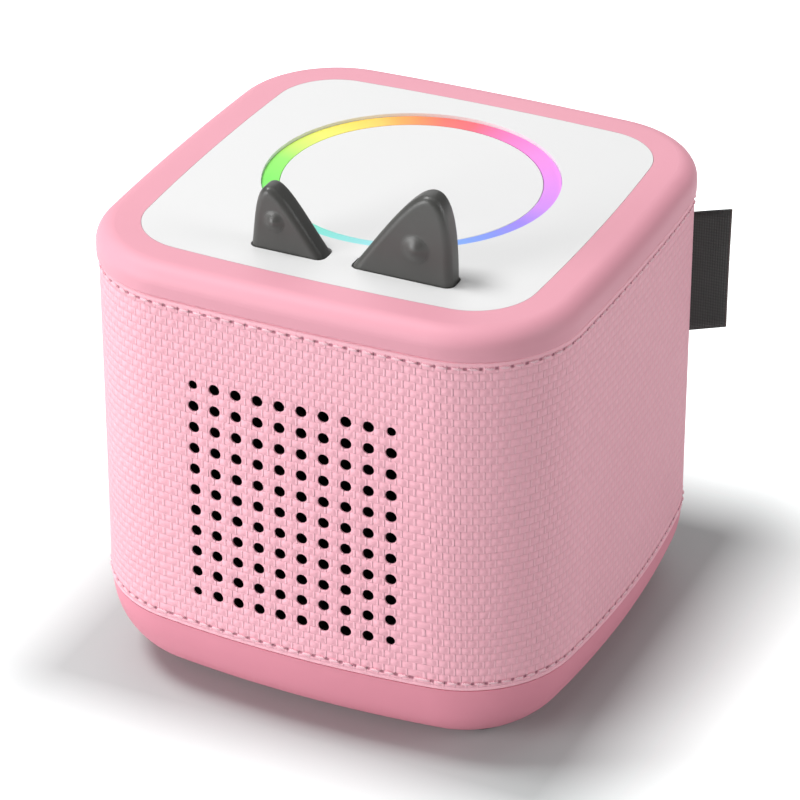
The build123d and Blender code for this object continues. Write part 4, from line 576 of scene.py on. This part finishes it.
field_left = FIELD_X - HOLE_PITCH * HOLE_COLUMNS / 2
field_low = FIELD_Z - HOLE_PITCH * HOLE_ROWS / 2
field_right = field_left + HOLE_PITCH * HOLE_COLUMNS
field_high = field_low + HOLE_PITCH * HOLE_ROWS
label_bend = (LABEL_ANGLE - HEAD.turn) / (pi / 2 - 2 * HEAD.turn)
label_along = QUARTER + SIDE_RUN + label_bend * HEAD.corner_run
port_half = PORT_LENGTH / 2 + PORT_MARGIN

lines_along = steps(-SIDE_RUN, field_left, 3)[:-1]
lines_along += steps(field_left, field_right, HOLE_COLUMNS * CELL_CUTS)
lines_along += steps(field_right, SIDE_RUN, 3)[1:]
lines_along += steps(SIDE_RUN, QUARTER - SIDE_RUN, 20)[1:]
lines_along += steps(QUARTER - SIDE_RUN, QUARTER + SIDE_RUN, 16)[1:]
corner_lines = steps(QUARTER + SIDE_RUN, 2 * QUARTER - SIDE_RUN, 20)[1:]
seam_lines = [label_along + offset * MM for offset in (-1.0, -0.5, -0.2, 0.2, 0.5, 1.0)]
lines_along += sorted([v for v in corner_lines if abs(v - label_along) > 1.3 * MM] + seam_lines)
lines_along += steps(2 * QUARTER - SIDE_RUN, 2 * QUARTER - port_half, 5)[1:-1]
lines_along += steps(2 * QUARTER - port_half, 2 * QUARTER + port_half, 28)
lines_along += steps(2 * QUARTER + port_half, 2 * QUARTER + SIDE_RUN, 5)[1:]
lines_along += steps(2 * QUARTER + SIDE_RUN, 3 * QUARTER - SIDE_RUN, 20)[1:]
lines_along += steps(3 * QUARTER - SIDE_RUN, 3 * QUARTER + SIDE_RUN, 16)[1:]
lines_along += steps(3 * QUARTER + SIDE_RUN, 4 * QUARTER - SIDE_RUN, 20)[1:]

# Height above the lower edge and how far the cloth stands out, for the turned-in hems. The foot
# has a fold with a crease above it, the rim a plain turn, and both a groove along the stitches.
foot_hem = [(0.0, -0.9), (0.14, -0.5), (0.3, -0.2), (0.5, -0.03), (0.75, 0.02), (0.95, -0.06),
            (1.1, -0.14), (1.25, -0.06), (1.6, 0.0), (1.95, -0.03), (2.3, -0.16), (2.65, -0.03),
            (3.1, 0.0)]
head_hem = [(0.0, -0.9), (0.08, -0.42), (0.25, -0.14), (0.5, -0.02), (0.9, 0.0), (1.25, -0.03),
            (1.6, -0.16), (1.95, -0.03), (2.4, 0.0)]
lines_up = [SEAM + up * MM for up, _ in foot_hem]
lines_up += steps(SEAM + 3.1 * MM, field_low, 3)[1:-1]
lines_up += steps(field_low, field_high, HOLE_ROWS * CELL_CUTS)
lines_up += steps(field_high, RIM_LOW - 2.4 * MM, 7)[1:-1]
lines_up += [RIM_LOW - down * MM for down, _ in reversed(head_hem)]
print("cloth lines", len(lines_along), "by", len(lines_up))

# %% Flat grid


def hem_depth(up):
    """How far out the cloth stands at a height, from the two hems' tables."""
    for table, height in ((foot_hem, (up - SEAM) / MM), (head_hem, (RIM_LOW - up) / MM)):
        for (low, deep), (high, next_deep) in zip(table, table[1:]):
            if low - 1e-6 <= height <= high + 1e-6:
                return (deep + (next_deep - deep) * (height - low) / (high - low)) * MM
    return 0.0


def flat_cloth():
    """A grid whose lines are moved to the cover's lines."""
    cloth = bmesh.new()
    columns, rows = len(lines_along), len(lines_up)
    bmesh.ops.create_grid(cloth, x_segments=columns - 1, y_segments=rows - 1, size=0.5)
    for vert in cloth.verts:
        column = round((vert.co.x + 0.5) * (columns - 1))
        row = round((vert.co.y + 0.5) * (rows - 1))
        up = lines_up[row]
        groove = max(0.0, 1 - abs(lines_along[column] - label_along) / GROOVE_HALF)
        vert.co = (lines_along[column], hem_depth(up) - GROOVE_DEEP * groove, up)
    return cloth


cloth = flat_cloth()
print("flat cloth", len(cloth.faces), "faces")

# %% [markdown]
# Punching a hole takes four steps: find the faces of its cell, dissolve them into one, inset
# that face, and move the inset's corners onto the hole's outline. A second, sunk inset rounds
# the edge over, as a punch does. Then the face goes.

# %% Punch the holes


def punch(mesh, region, centre, edges):
    """Cuts a face into rings round a centre and returns the face that is left inside them.
    Each ring has a depth along y, and a function that gives its edge in a direction."""
    for depth, outline in edges:
        bmesh.ops.inset_individual(mesh, faces=[region], thickness=0.02 * MM,
                                   use_even_offset=True)
        for vert in region.verts:
            x, z = vert.co.x - centre.x, vert.co.z - centre.z
            edge_x, edge_z = outline(atan2(z, x))
            vert.co = (centre.x + edge_x, depth, centre.z + edge_z)
    return region


def round_hole(radius):
    return lambda angle: (radius * cos(angle), radius * sin(angle))


def pill_hole(length, width):
    """The edge of a pill-shaped hole in a direction from its middle."""
    radius, flat = width / 2, (length - width) / 2

    def outline(angle):
        x, z = cos(angle), sin(angle)
        if abs(z) * flat >= abs(x) * radius:
            return x * radius / abs(z), radius * (1 if z > 0 else -1)
        sign = 1 if x > 0 else -1
        run = flat * x * sign + sqrt(max(0.0, radius**2 - (flat * z) ** 2))
        return x * run, z * run
    return outline


# How far outside the hole's edge each ring lies, and its depth: the edge rounds over and sinks.
PUNCHED_EDGE = [(0.28 * MM, 0.0), (0.07 * MM, -0.08 * MM), (0.0, -0.35 * MM)]


def cloth_hole(cloth, faces, edge_at):
    """Joins faces into one and punches a hole there. edge_at gives an outline for a margin."""
    region = bmesh.ops.dissolve_faces(cloth, faces=faces)["region"][0]
    rings = [(depth, edge_at(margin)) for margin, depth in PUNCHED_EDGE]
    return punch(cloth, region, region.calc_center_bounds(), rings)


def cell_faces(cloth, left, right, low, high):
    cells = {}
    for face in cloth.faces:
        middle = face.calc_center_median()
        if left < middle.x < right and low < middle.z < high:
            key = (int((middle.x - left) / HOLE_PITCH), int((middle.z - low) / HOLE_PITCH))
            cells.setdefault(key, []).append(face)
    return cells


punched = []
cells = cell_faces(cloth, field_left, field_right, field_low, field_high)
for (column, row), faces in sorted(cells.items()):
    at_corner = column in (0, HOLE_COLUMNS - 1) and row in (0, HOLE_ROWS - 1)
    radius = CORNER_HOLE_RADIUS if at_corner else HOLE_RADIUS
    punched.append(cloth_hole(cloth, faces, lambda margin: round_hole(radius + margin)))
port_faces = [face for face in cloth.faces
              if abs(face.calc_center_median().x - 2 * QUARTER) < port_half
              and abs(face.calc_center_median().z - PORT_Z) < PORT_WIDTH / 2 + PORT_MARGIN_UP]
punched.append(cloth_hole(cloth, port_faces, lambda margin: pill_hole(
    PORT_LENGTH + 2 * margin, PORT_WIDTH + 2 * margin)))
bmesh.ops.delete(cloth, geom=punched, context="FACES_ONLY")
print("punched", len(punched), "holes")

# %% Wrap it round the padding


CREASE = radians(50)      # edges sharper than this stay sharp


def piece_from(mesh_in_progress, name, slot, body="player"):
    """Turns a bmesh into a finished piece that rides on a body, smooth but for its creases."""
    for edge in mesh_in_progress.edges:
        edge.smooth = not edge.is_manifold or edge.calc_face_angle() < CREASE
    mesh = bpy.data.meshes.new(name)
    mesh_in_progress.to_mesh(mesh)
    mesh_in_progress.free()
    mesh.polygons.foreach_set("use_smooth", [True] * len(mesh.polygons))
    piece = bpy.data.objects.new(name, mesh)
    bpy.context.scene.collection.objects.link(piece)
    piece.data.materials.append(finishes[slot].material)
    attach(piece, body)
    return piece


def wrap(flat):
    """Stores where each corner is on the flat cloth as its UV, then moves it onto the wall."""
    layer = flat.loops.layers.uv.new(CLOTH)
    for face in flat.faces:
        for loop in face.loops:
            loop[layer].uv = (loop.vert.co.x, loop.vert.co.z)
    for vert in flat.verts:
        vert.co = on_wall(vert.co.x, vert.co.z, vert.co.y)
    bmesh.ops.remove_doubles(flat, verts=flat.verts, dist=0.00001)
    bmesh.ops.recalc_face_normals(flat, faces=flat.faces)


columns_round = 2 * round(AROUND / COLUMN / 2)
top_stitches = round(AROUND / (3.5 * MM))
foot_stitches = round(AROUND / (3.4 * MM))
CLOTH_LIGHT = seen(255, 188, 203)
CLOTH_DARK = seen(206, 108, 132)
CLOTH_HIGHLIGHT = seen(255, 206, 217)
PIT_SHADE = seen(158, 74, 98)
finishes["cover_fabric"] = woven(
    "woven_cover", CLOTH_LIGHT, CLOTH_DARK, CLOTH_HIGHLIGHT, PIT_SHADE, AROUND / top_stitches,
    AROUND / foot_stitches, AROUND / columns_round)
wrap(cloth)
outward = sum(face.normal.dot(Vector((*face.calc_center_median().xy, 0))) for face in cloth.faces)
if outward < 0:
    bmesh.ops.reverse_faces(cloth, faces=cloth.faces)
cover = piece_from(cloth, "woven_cover", "cover_fabric")
thickness = cover.modifiers.new("thickness", "SOLIDIFY")
thickness.thickness = 0.9 * MM
thickness.offset = -1.0
thickness.use_even_offset = False
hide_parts("fabric_sleeve")
print("cover", len(cover.data.polygons), "faces")

# %% [markdown]
# ## Stitches
#
# A lockstitch shows as short lengths of thread, each dipping into a pit at both ends. One stitch
# is a long, low ball of a few dozen faces. It is laid down hundreds of times on the flat cloth
# and wrapped round the wall with the same function as the cover.

# %% Two rows of stitches
THREAD_HALF = 1.18 * MM
THREAD_DEEP = 0.34 * MM
THREAD_TALL = 0.36 * MM
THREAD_OUT = 0.07 * MM    # how far its middle stands out of the cloth
THREAD_LEAN = radians(4)


def stitch_row(name, up, count):
    """A row of stitches round the wall at a height."""
    row = bmesh.new()
    pitch = AROUND / count
    for k in range(count):
        place = -SIDE_RUN + (k + 1.0) * pitch
        lay = Matrix.Translation((place, THREAD_OUT, up)) @ Matrix.Rotation(THREAD_LEAN, 4, "Y")
        shape = Matrix.Diagonal((THREAD_HALF, THREAD_DEEP, THREAD_TALL, 1.0))
        turned = Matrix.Rotation(pi / 2, 4, "Y")
        bmesh.ops.create_uvsphere(row, u_segments=8, v_segments=6, radius=1.0,
                                  matrix=lay @ shape @ turned)
    for vert in row.verts:
        share = (vert.co.x + SIDE_RUN) / AROUND
        vert.co.x -= AROUND * int(share) if share >= 1 else 0
        vert.co = on_wall(vert.co.x, vert.co.z, vert.co.y)
    bmesh.ops.recalc_face_normals(row, faces=row.faces)
    return piece_from(row, name, "cover_fabric")


def thread():
    """Pale twisted sewing thread."""
    finish = Finish("sewing_thread", seen(250, 200, 212), 0.65, Sheen_Weight=0.1)
    across, deep, up = finish.place()
    twist = ((across + deep + up * 1.6) * 9000.0).sine()
    finish.set(Base_Color=finish.blend(twist * 0.5 + 0.5, seen(243, 188, 201), seen(253, 209, 219)))
    return finish.relief(twist, 0.00003)


thread_finish = thread()
rows_of_stitches = [
    stitch_row("rim_stitches", TOP_STITCH, top_stitches),
    stitch_row("seam_stitches", FOOT_STITCH, foot_stitches),
]
for row in rows_of_stitches:
    row.data.materials[0] = thread_finish.material
print("stitches", top_stitches, "and", foot_stitches)

# %% [markdown]
# ## The woven label
#
# A strip of black satin ribbon is folded in two, and its ends are sewn into the cover's seam at
# the right rear corner. A profile of the fold is drawn with a few vertices and pulled up in
# steps. It bends and tilts slightly, because soft ribbon never stands quite flat.

# %% Folded ribbon
LABEL_LOW = 67.0 * MM
LABEL_TALL = 32.0 * MM
LABEL_OUT = 9.6 * MM
LABEL_ROOT = 1.9 * MM
RIBBON = 0.3 * MM
FOLD_RADIUS = 0.22 * MM
LABEL_STEPS = 16
LABEL_TILT = 0.05         # how much the ribbon rises for each step out
LABEL_BOW = 0.35 * MM
RIB = 0.42 * MM           # pitch of the satin's ribs, and of its picks
PICK = 0.6 * MM
label_share = (RIM_LOW - LABEL_LOW - LABEL_TALL / 2) / (RIM_LOW - SEAM)
label_centre = HEAD.centre + label_share * (FOOT.centre - HEAD.centre)
label_surface = HEAD.corner + label_share * (FOOT.corner - HEAD.corner)
outwards = Vector((cos(LABEL_ANGLE), sin(LABEL_ANGLE), 0))
sideways = Vector((-sin(LABEL_ANGLE), cos(LABEL_ANGLE), 0))


def ribbon_profile():
    """The fold from above: out along one side, round the fold and back."""
    straight = steps(-LABEL_ROOT, LABEL_OUT - FOLD_RADIUS - RIBBON / 2, 6)
    out = [(run, -FOLD_RADIUS) for run in straight]
    turn = [(straight[-1] + FOLD_RADIUS * cos(angle), FOLD_RADIUS * sin(angle))
            for angle in steps(-pi / 2, pi / 2, 6)[1:-1]]
    back = [(run, FOLD_RADIUS) for run in reversed(straight)]
    return out + turn + back


ribbon = bmesh.new()
profile = ribbon_profile()
corners = [ribbon.verts.new((run, side, 0)) for run, side in profile]
edges = [ribbon.edges.new(pair) for pair in zip(corners, corners[1:])]
for level in range(LABEL_STEPS):
    grown = bmesh.ops.extrude_edge_only(ribbon, edges=edges)["geom"]
    edges = [g for g in grown if isinstance(g, bmesh.types.BMEdge)]
    fresh = [g for g in grown if isinstance(g, bmesh.types.BMVert)]
    bmesh.ops.translate(ribbon, verts=fresh, vec=(0, 0, LABEL_TALL / LABEL_STEPS))
layer = ribbon.loops.layers.uv.new(CLOTH)
for face in ribbon.faces:
    for loop in face.loops:
        loop[layer].uv = (loop.vert.co.x, loop.vert.co.z)
for vert in ribbon.verts:
    run, side, up = vert.co
    loose = max(0.0, run) / LABEL_OUT
    side += LABEL_BOW * loose**2 * sin(pi * up / LABEL_TALL * 1.3)
    base = Vector((label_centre, label_centre, LABEL_LOW))
    up += LABEL_TILT * run
    vert.co = base + outwards * (label_surface + run) + sideways * side + Vector((0, 0, up))
bmesh.ops.recalc_face_normals(ribbon, faces=ribbon.faces)


def satin():
    """Black satin ribbon: fine ribs and picks, and a brownish edge at the fold."""
    finish = Finish("satin_ribbon", seen(34, 33, 32), 0.55, Sheen_Weight=0.1)
    run, up = finish.along(CLOTH)
    ribs = (up * tau / RIB).sine()
    picks = (run * tau / PICK).sine()
    edge = run.rise(LABEL_OUT - 0.7 * MM, LABEL_OUT - 0.3 * MM)
    tone = finish.blend(ribs * 0.25 + picks * 0.2 + 0.5, seen(28, 27, 26), seen(40, 39, 38))
    finish.set(Base_Color=finish.blend(edge * 0.8, tone, seen(72, 48, 46)))
    return finish.relief(ribs * 0.6 + picks * 0.4, 0.00006)


finishes["label_fabric"] = satin()
label = piece_from(ribbon, "folded_label", "label_fabric")
ribbon_thickness = label.modifiers.new("thickness", "SOLIDIFY")
ribbon_thickness.thickness = RIBBON
ribbon_thickness.offset = 0.0
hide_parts("woven_label")
print("label", [round(v / MM, 1) for v in label.dimensions])

# %% [markdown]
# ## The ears
#
# Each ear is a hollow skin of soft silicone over a stiff core, with a low press spot in front of
# the switch. The skin starts as its outline, seen from the front: two bowed sides that meet in a
# rounded tip, and a neck that goes down through the plate. The outline becomes a face, the face
# is pulled back to the ear's thickness, and its edges are rounded with a bevel.
#
# The press spot is a separate piece that moves, but it has to look moulded into the skin. So the
# dome is bell-shaped, and the skin takes up its last, flattest part round the bore.

# %% Ear outlines
PLATE_TOP = 114.4 * MM
EAR_FRONT = -40.35 * MM
EAR_THICK = 6.0 * MM
EAR_EDGE = 1.75 * MM
EAR_NECK = 6.0 * MM       # how far the skin reaches below the plate
FLANGE_OUT = 1.2 * MM     # lip that holds the skin under the plate
FLANGE_TALL = 1.4 * MM
FLANGE_MIDDLE = 111.6 * MM
DOME_RISE = 1.15 * MM
SPOT_GAP = 0.02 * MM
FACE_BORDER = 0.25 * MM   # flat band inside the rounded edge, which keeps its shading even
BORE_DEEP = 1.1 * MM      # the skin's thickness round the bore
SIDE_POINTS = 30
NECK_POINTS = 12
CORNER_CLEAR = 2.6        # millimetres without points beside a corner, for the rounded edge

# Each side is a smooth curve with four points, x and height: foot, two that pull it, and top.
ears = {
    "small": {"left": [(-19.0, 0), (-18.1, 6.5), (-18.1, 15.2), (-14.4, 15.2)],
              "right": [(-1.0, 0), (-6.6, 7.2), (-11.2, 15.2), (-14.4, 15.2)],
              "spot": (-12.75, 7.2), "spot_radius": 2.4, "spot_fade": 3.0},
    "large": {"left": [(6.25, 0), (12.8, 9.0), (20.2, 21.25), (24.8, 21.25)],
              "right": [(30.7, 0), (30.6, 13.5), (29.2, 21.25), (24.8, 21.25)],
              "spot": (22.1, 7.9), "spot_radius": 3.2, "spot_fade": 4.0},
}


def curve(points):
    """Points along a smooth curve that leaves its first point and reaches its last one in the
    directions of the two between them."""
    a, b, c, d = [Vector(point) for point in points]
    return [a * (1 - t) ** 3 + b * 3 * t * (1 - t) ** 2 + c * 3 * t**2 * (1 - t) + d * t**3
            for t in steps(0, 1, SIDE_POINTS)]


def ear_outline(ear):
    """The outline in millimetres, from the left foot over the tip and back along the neck. Beside
    the neck's corners there are no points, so that the rounded edge doesn't fold over there."""
    left, right = curve(ear["left"]), curve(ear["right"])
    neck = -EAR_NECK / MM
    low = [Vector((x, neck)) for x in steps(right[0].x - CORNER_CLEAR, left[0].x + CORNER_CLEAR,
                                            NECK_POINTS)]
    corners = Vector((right[0].x, neck)), Vector((left[0].x, neck))
    return left + right[-2::-1] + [corners[0]] + low + [corners[1]]


# %% Ear skins


def ear_skin(name, ear):
    """The skin of one ear, with the bore for its press spot and the lip under the plate."""
    skin = bmesh.new()
    corners = [skin.verts.new((x * MM, EAR_FRONT, PLATE_TOP + z * MM)) for x, z in ear_outline(ear)]
    front = skin.faces.new(corners)
    rear = bmesh.ops.extrude_face_region(skin, geom=[front])["geom"]
    bmesh.ops.translate(skin, verts=[g for g in rear if isinstance(g, bmesh.types.BMVert)],
                        vec=(0, EAR_THICK, 0))
    bmesh.ops.recalc_face_normals(skin, faces=skin.faces)
    rims = [edge for edge in skin.edges
            if abs(edge.verts[0].co.y - edge.verts[1].co.y) < EAR_THICK / 2]
    bmesh.ops.bevel(skin, geom=rims, offset=EAR_EDGE, offset_type="OFFSET", segments=7,
                    profile=0.5, affect="EDGES", clamp_overlap=True, material=-1)
    flats = sorted(skin.faces, key=lambda face: len(face.verts))[-2:]
    bmesh.ops.inset_individual(skin, faces=flats, thickness=FACE_BORDER,
                             use_even_offset=True)
    front = min(flats, key=lambda face: face.calc_center_median().y)
    spot = Vector((ear["spot"][0] * MM, EAR_FRONT, PLATE_TOP + ear["spot"][1] * MM))
    bore = ear["spot_radius"] * MM + SPOT_GAP
    fade = ear["spot_fade"] * MM
    rings = [(EAR_FRONT - bell(radius, fade), round_hole(radius))
             for radius in steps(fade, bore, 4)]
    rings.append((EAR_FRONT + BORE_DEEP, round_hole(bore)))
    region = punch(skin, front, spot, rings)
    bmesh.ops.delete(skin, geom=[region], context="FACES_ONLY")
    left, right = ear["left"][0][0], ear["right"][0][0]
    lip = bmesh.ops.create_cube(skin, size=1.0, matrix=Matrix.Translation((
        (left + right) / 2 * MM, EAR_FRONT + EAR_THICK / 2, FLANGE_MIDDLE))
        @ Matrix.Diagonal(((right - left) * MM + 2 * FLANGE_OUT,
                           EAR_THICK + 2 * FLANGE_OUT, FLANGE_TALL, 1.0)))["verts"]
    upright = {edge for vert in lip for edge in vert.link_edges
               if abs(edge.verts[0].co.z - edge.verts[1].co.z) > FLANGE_TALL / 2}
    bmesh.ops.bevel(skin, geom=list(upright), offset=EAR_EDGE, offset_type="OFFSET", segments=4,
                    profile=0.5, affect="EDGES", clamp_overlap=True, material=-1)
    piece = piece_from(skin, f"{name}_ear", "ear_rubber")
    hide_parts(f"{name}_ear_skin")
    return piece


def bell(radius, fade):
    """Height of the press spot's bell-shaped dome at a distance from its middle."""
    return DOME_RISE * cos(pi / 2 * min(1.0, radius / fade)) ** 2


# %% Press spots
COLLAR_FRONT = 1.3 * MM
COLLAR_REAR = 1.8 * MM
COLLAR_OVER = 0.5 * MM
STEM = 0.8 * MM
STEM_END = 3.0 * MM


def press_spot(name, ear):
    """The dome, the collar that keeps it in the skin, and the stem that works the switch."""
    radius, fade = ear["spot_radius"] * MM, ear["spot_fade"] * MM
    profile = [(r, -bell(r, fade)) for r in steps(0, radius, 12)]
    profile += [(radius, COLLAR_FRONT), (radius + COLLAR_OVER, COLLAR_FRONT),
                (radius + COLLAR_OVER, COLLAR_REAR), (STEM, COLLAR_REAR), (STEM, STEM_END),
                (0, STEM_END)]
    spot = bmesh.new()
    centre = Vector((ear["spot"][0] * MM, EAR_FRONT, PLATE_TOP + ear["spot"][1] * MM))
    points = [spot.verts.new(centre + Vector((r, y, 0))) for r, y in profile]
    lines = [spot.edges.new(pair) for pair in zip(points, points[1:])]
    bmesh.ops.spin(spot, geom=points + lines, cent=centre, axis=(0, 1, 0), angle=tau, steps=48,
                   use_merge=True)
    bmesh.ops.remove_doubles(spot, verts=spot.verts, dist=0.000001)
    bmesh.ops.recalc_face_normals(spot, faces=spot.faces)
    piece = piece_from(spot, f"{name}_press_dome", "ear_rubber", f"{name}_press_spot")
    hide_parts(f"{name}_ear_button")
    return piece


for name, ear in ears.items():
    made = ear_skin(name, ear), press_spot(name, ear)
    print(name, "ear", [round(v / MM, 1) for v in made[0].dimensions])

# %% [markdown]
# ## Finishes on the ready-made pieces
#
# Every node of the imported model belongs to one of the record's material slots. A slot's finish
# goes on all its nodes at once, so no piece is left in plain grey.

# %% Finish by slot
slots = {part["node"]: part["material_slot"] for part in frame["record"]["subparts"]}
for name, node in frame["nodes"].items():
    for place in range(max(1, len(node.material_slots))):
        if not node.material_slots:
            node.data.materials.append(None)
        node.material_slots[place].material = finishes[slots[name]].material
print("finished nodes", len(slots))

# %% [markdown]
# ## The table
#
# The table is a large pale plane that keeps the player's shadow. Light that only the camera and
# reflections see grows from nothing at the player's foot to full white a few centimetres away,
# so the background is white. Where that light is missing, near the foot, it leaves a painted
# shadow on top of the real one, soft and close to the foot.

# %% Floor
FLOOR_HALF = 4.0
SHADOW_HALF = 60 * MM     # half the width of the player's foot
GLOW_START = 2 * MM       # how far outside the foot the camera's extra light begins
GLOW_REACH = 42 * MM      # and over what distance it reaches full white
floor_mesh = bmesh.new()
bmesh.ops.create_grid(floor_mesh, x_segments=1, y_segments=1, size=FLOOR_HALF)
mesh = bpy.data.meshes.new("table")
floor_mesh.to_mesh(mesh)
floor_mesh.free()
table = bpy.data.objects.new("table", mesh)
bpy.context.scene.collection.objects.link(table)
TABLE_WHITE = (0.535, 0.58, 0.575, 1.0)     # a little cool, against the pink light on it
TABLE_SHADE = (0.525, 0.57, 0.565, 1.0)
paper = Finish("table_white", TABLE_WHITE, 0.9)
mottle = paper.noise(5.0)
paper.set(Base_Color=paper.blend(mottle, TABLE_WHITE, TABLE_SHADE))
floor_x, floor_y, _ = paper.place()
outside_x = (floor_x.size() - SHADOW_HALF).at_least(0.0)
outside_y = (floor_y.size() - SHADOW_HALF).at_least(0.0)
away = (outside_x * outside_x + outside_y * outside_y).root()
# Painted shadow: near the foot the camera's extra light is missing, so the table there stays darker
# than elsewhere.
glow = ((away - GLOW_START) / GLOW_REACH).at_least(0.0).at_most(1.0)
light_path = paper.node("ShaderNodeLightPath", {}).outputs
seen_directly = Sum(paper, light_path["Is Camera Ray"]).at_least(
    Sum(paper, light_path["Is Glossy Ray"])).at_least(Sum(paper, light_path["Is Transmission Ray"]))
dark = paper.node("ShaderNodeEmission", {}, Color=(0, 0, 0, 1), Strength=0.0)
bright = paper.node("ShaderNodeEmission", {}, Color=(1, 1, 1, 1), Strength=1.0)
added = paper.node("ShaderNodeMixShader", {}, seen_directly * glow, dark.outputs[0],
                   bright.outputs[0])
both = paper.node("ShaderNodeAddShader", {}, paper.shader.outputs[0], added.outputs[0])
paper.feed(paper.tree.nodes["Material Output"].inputs["Surface"], both.outputs[0])
table.data.materials.append(paper.material)
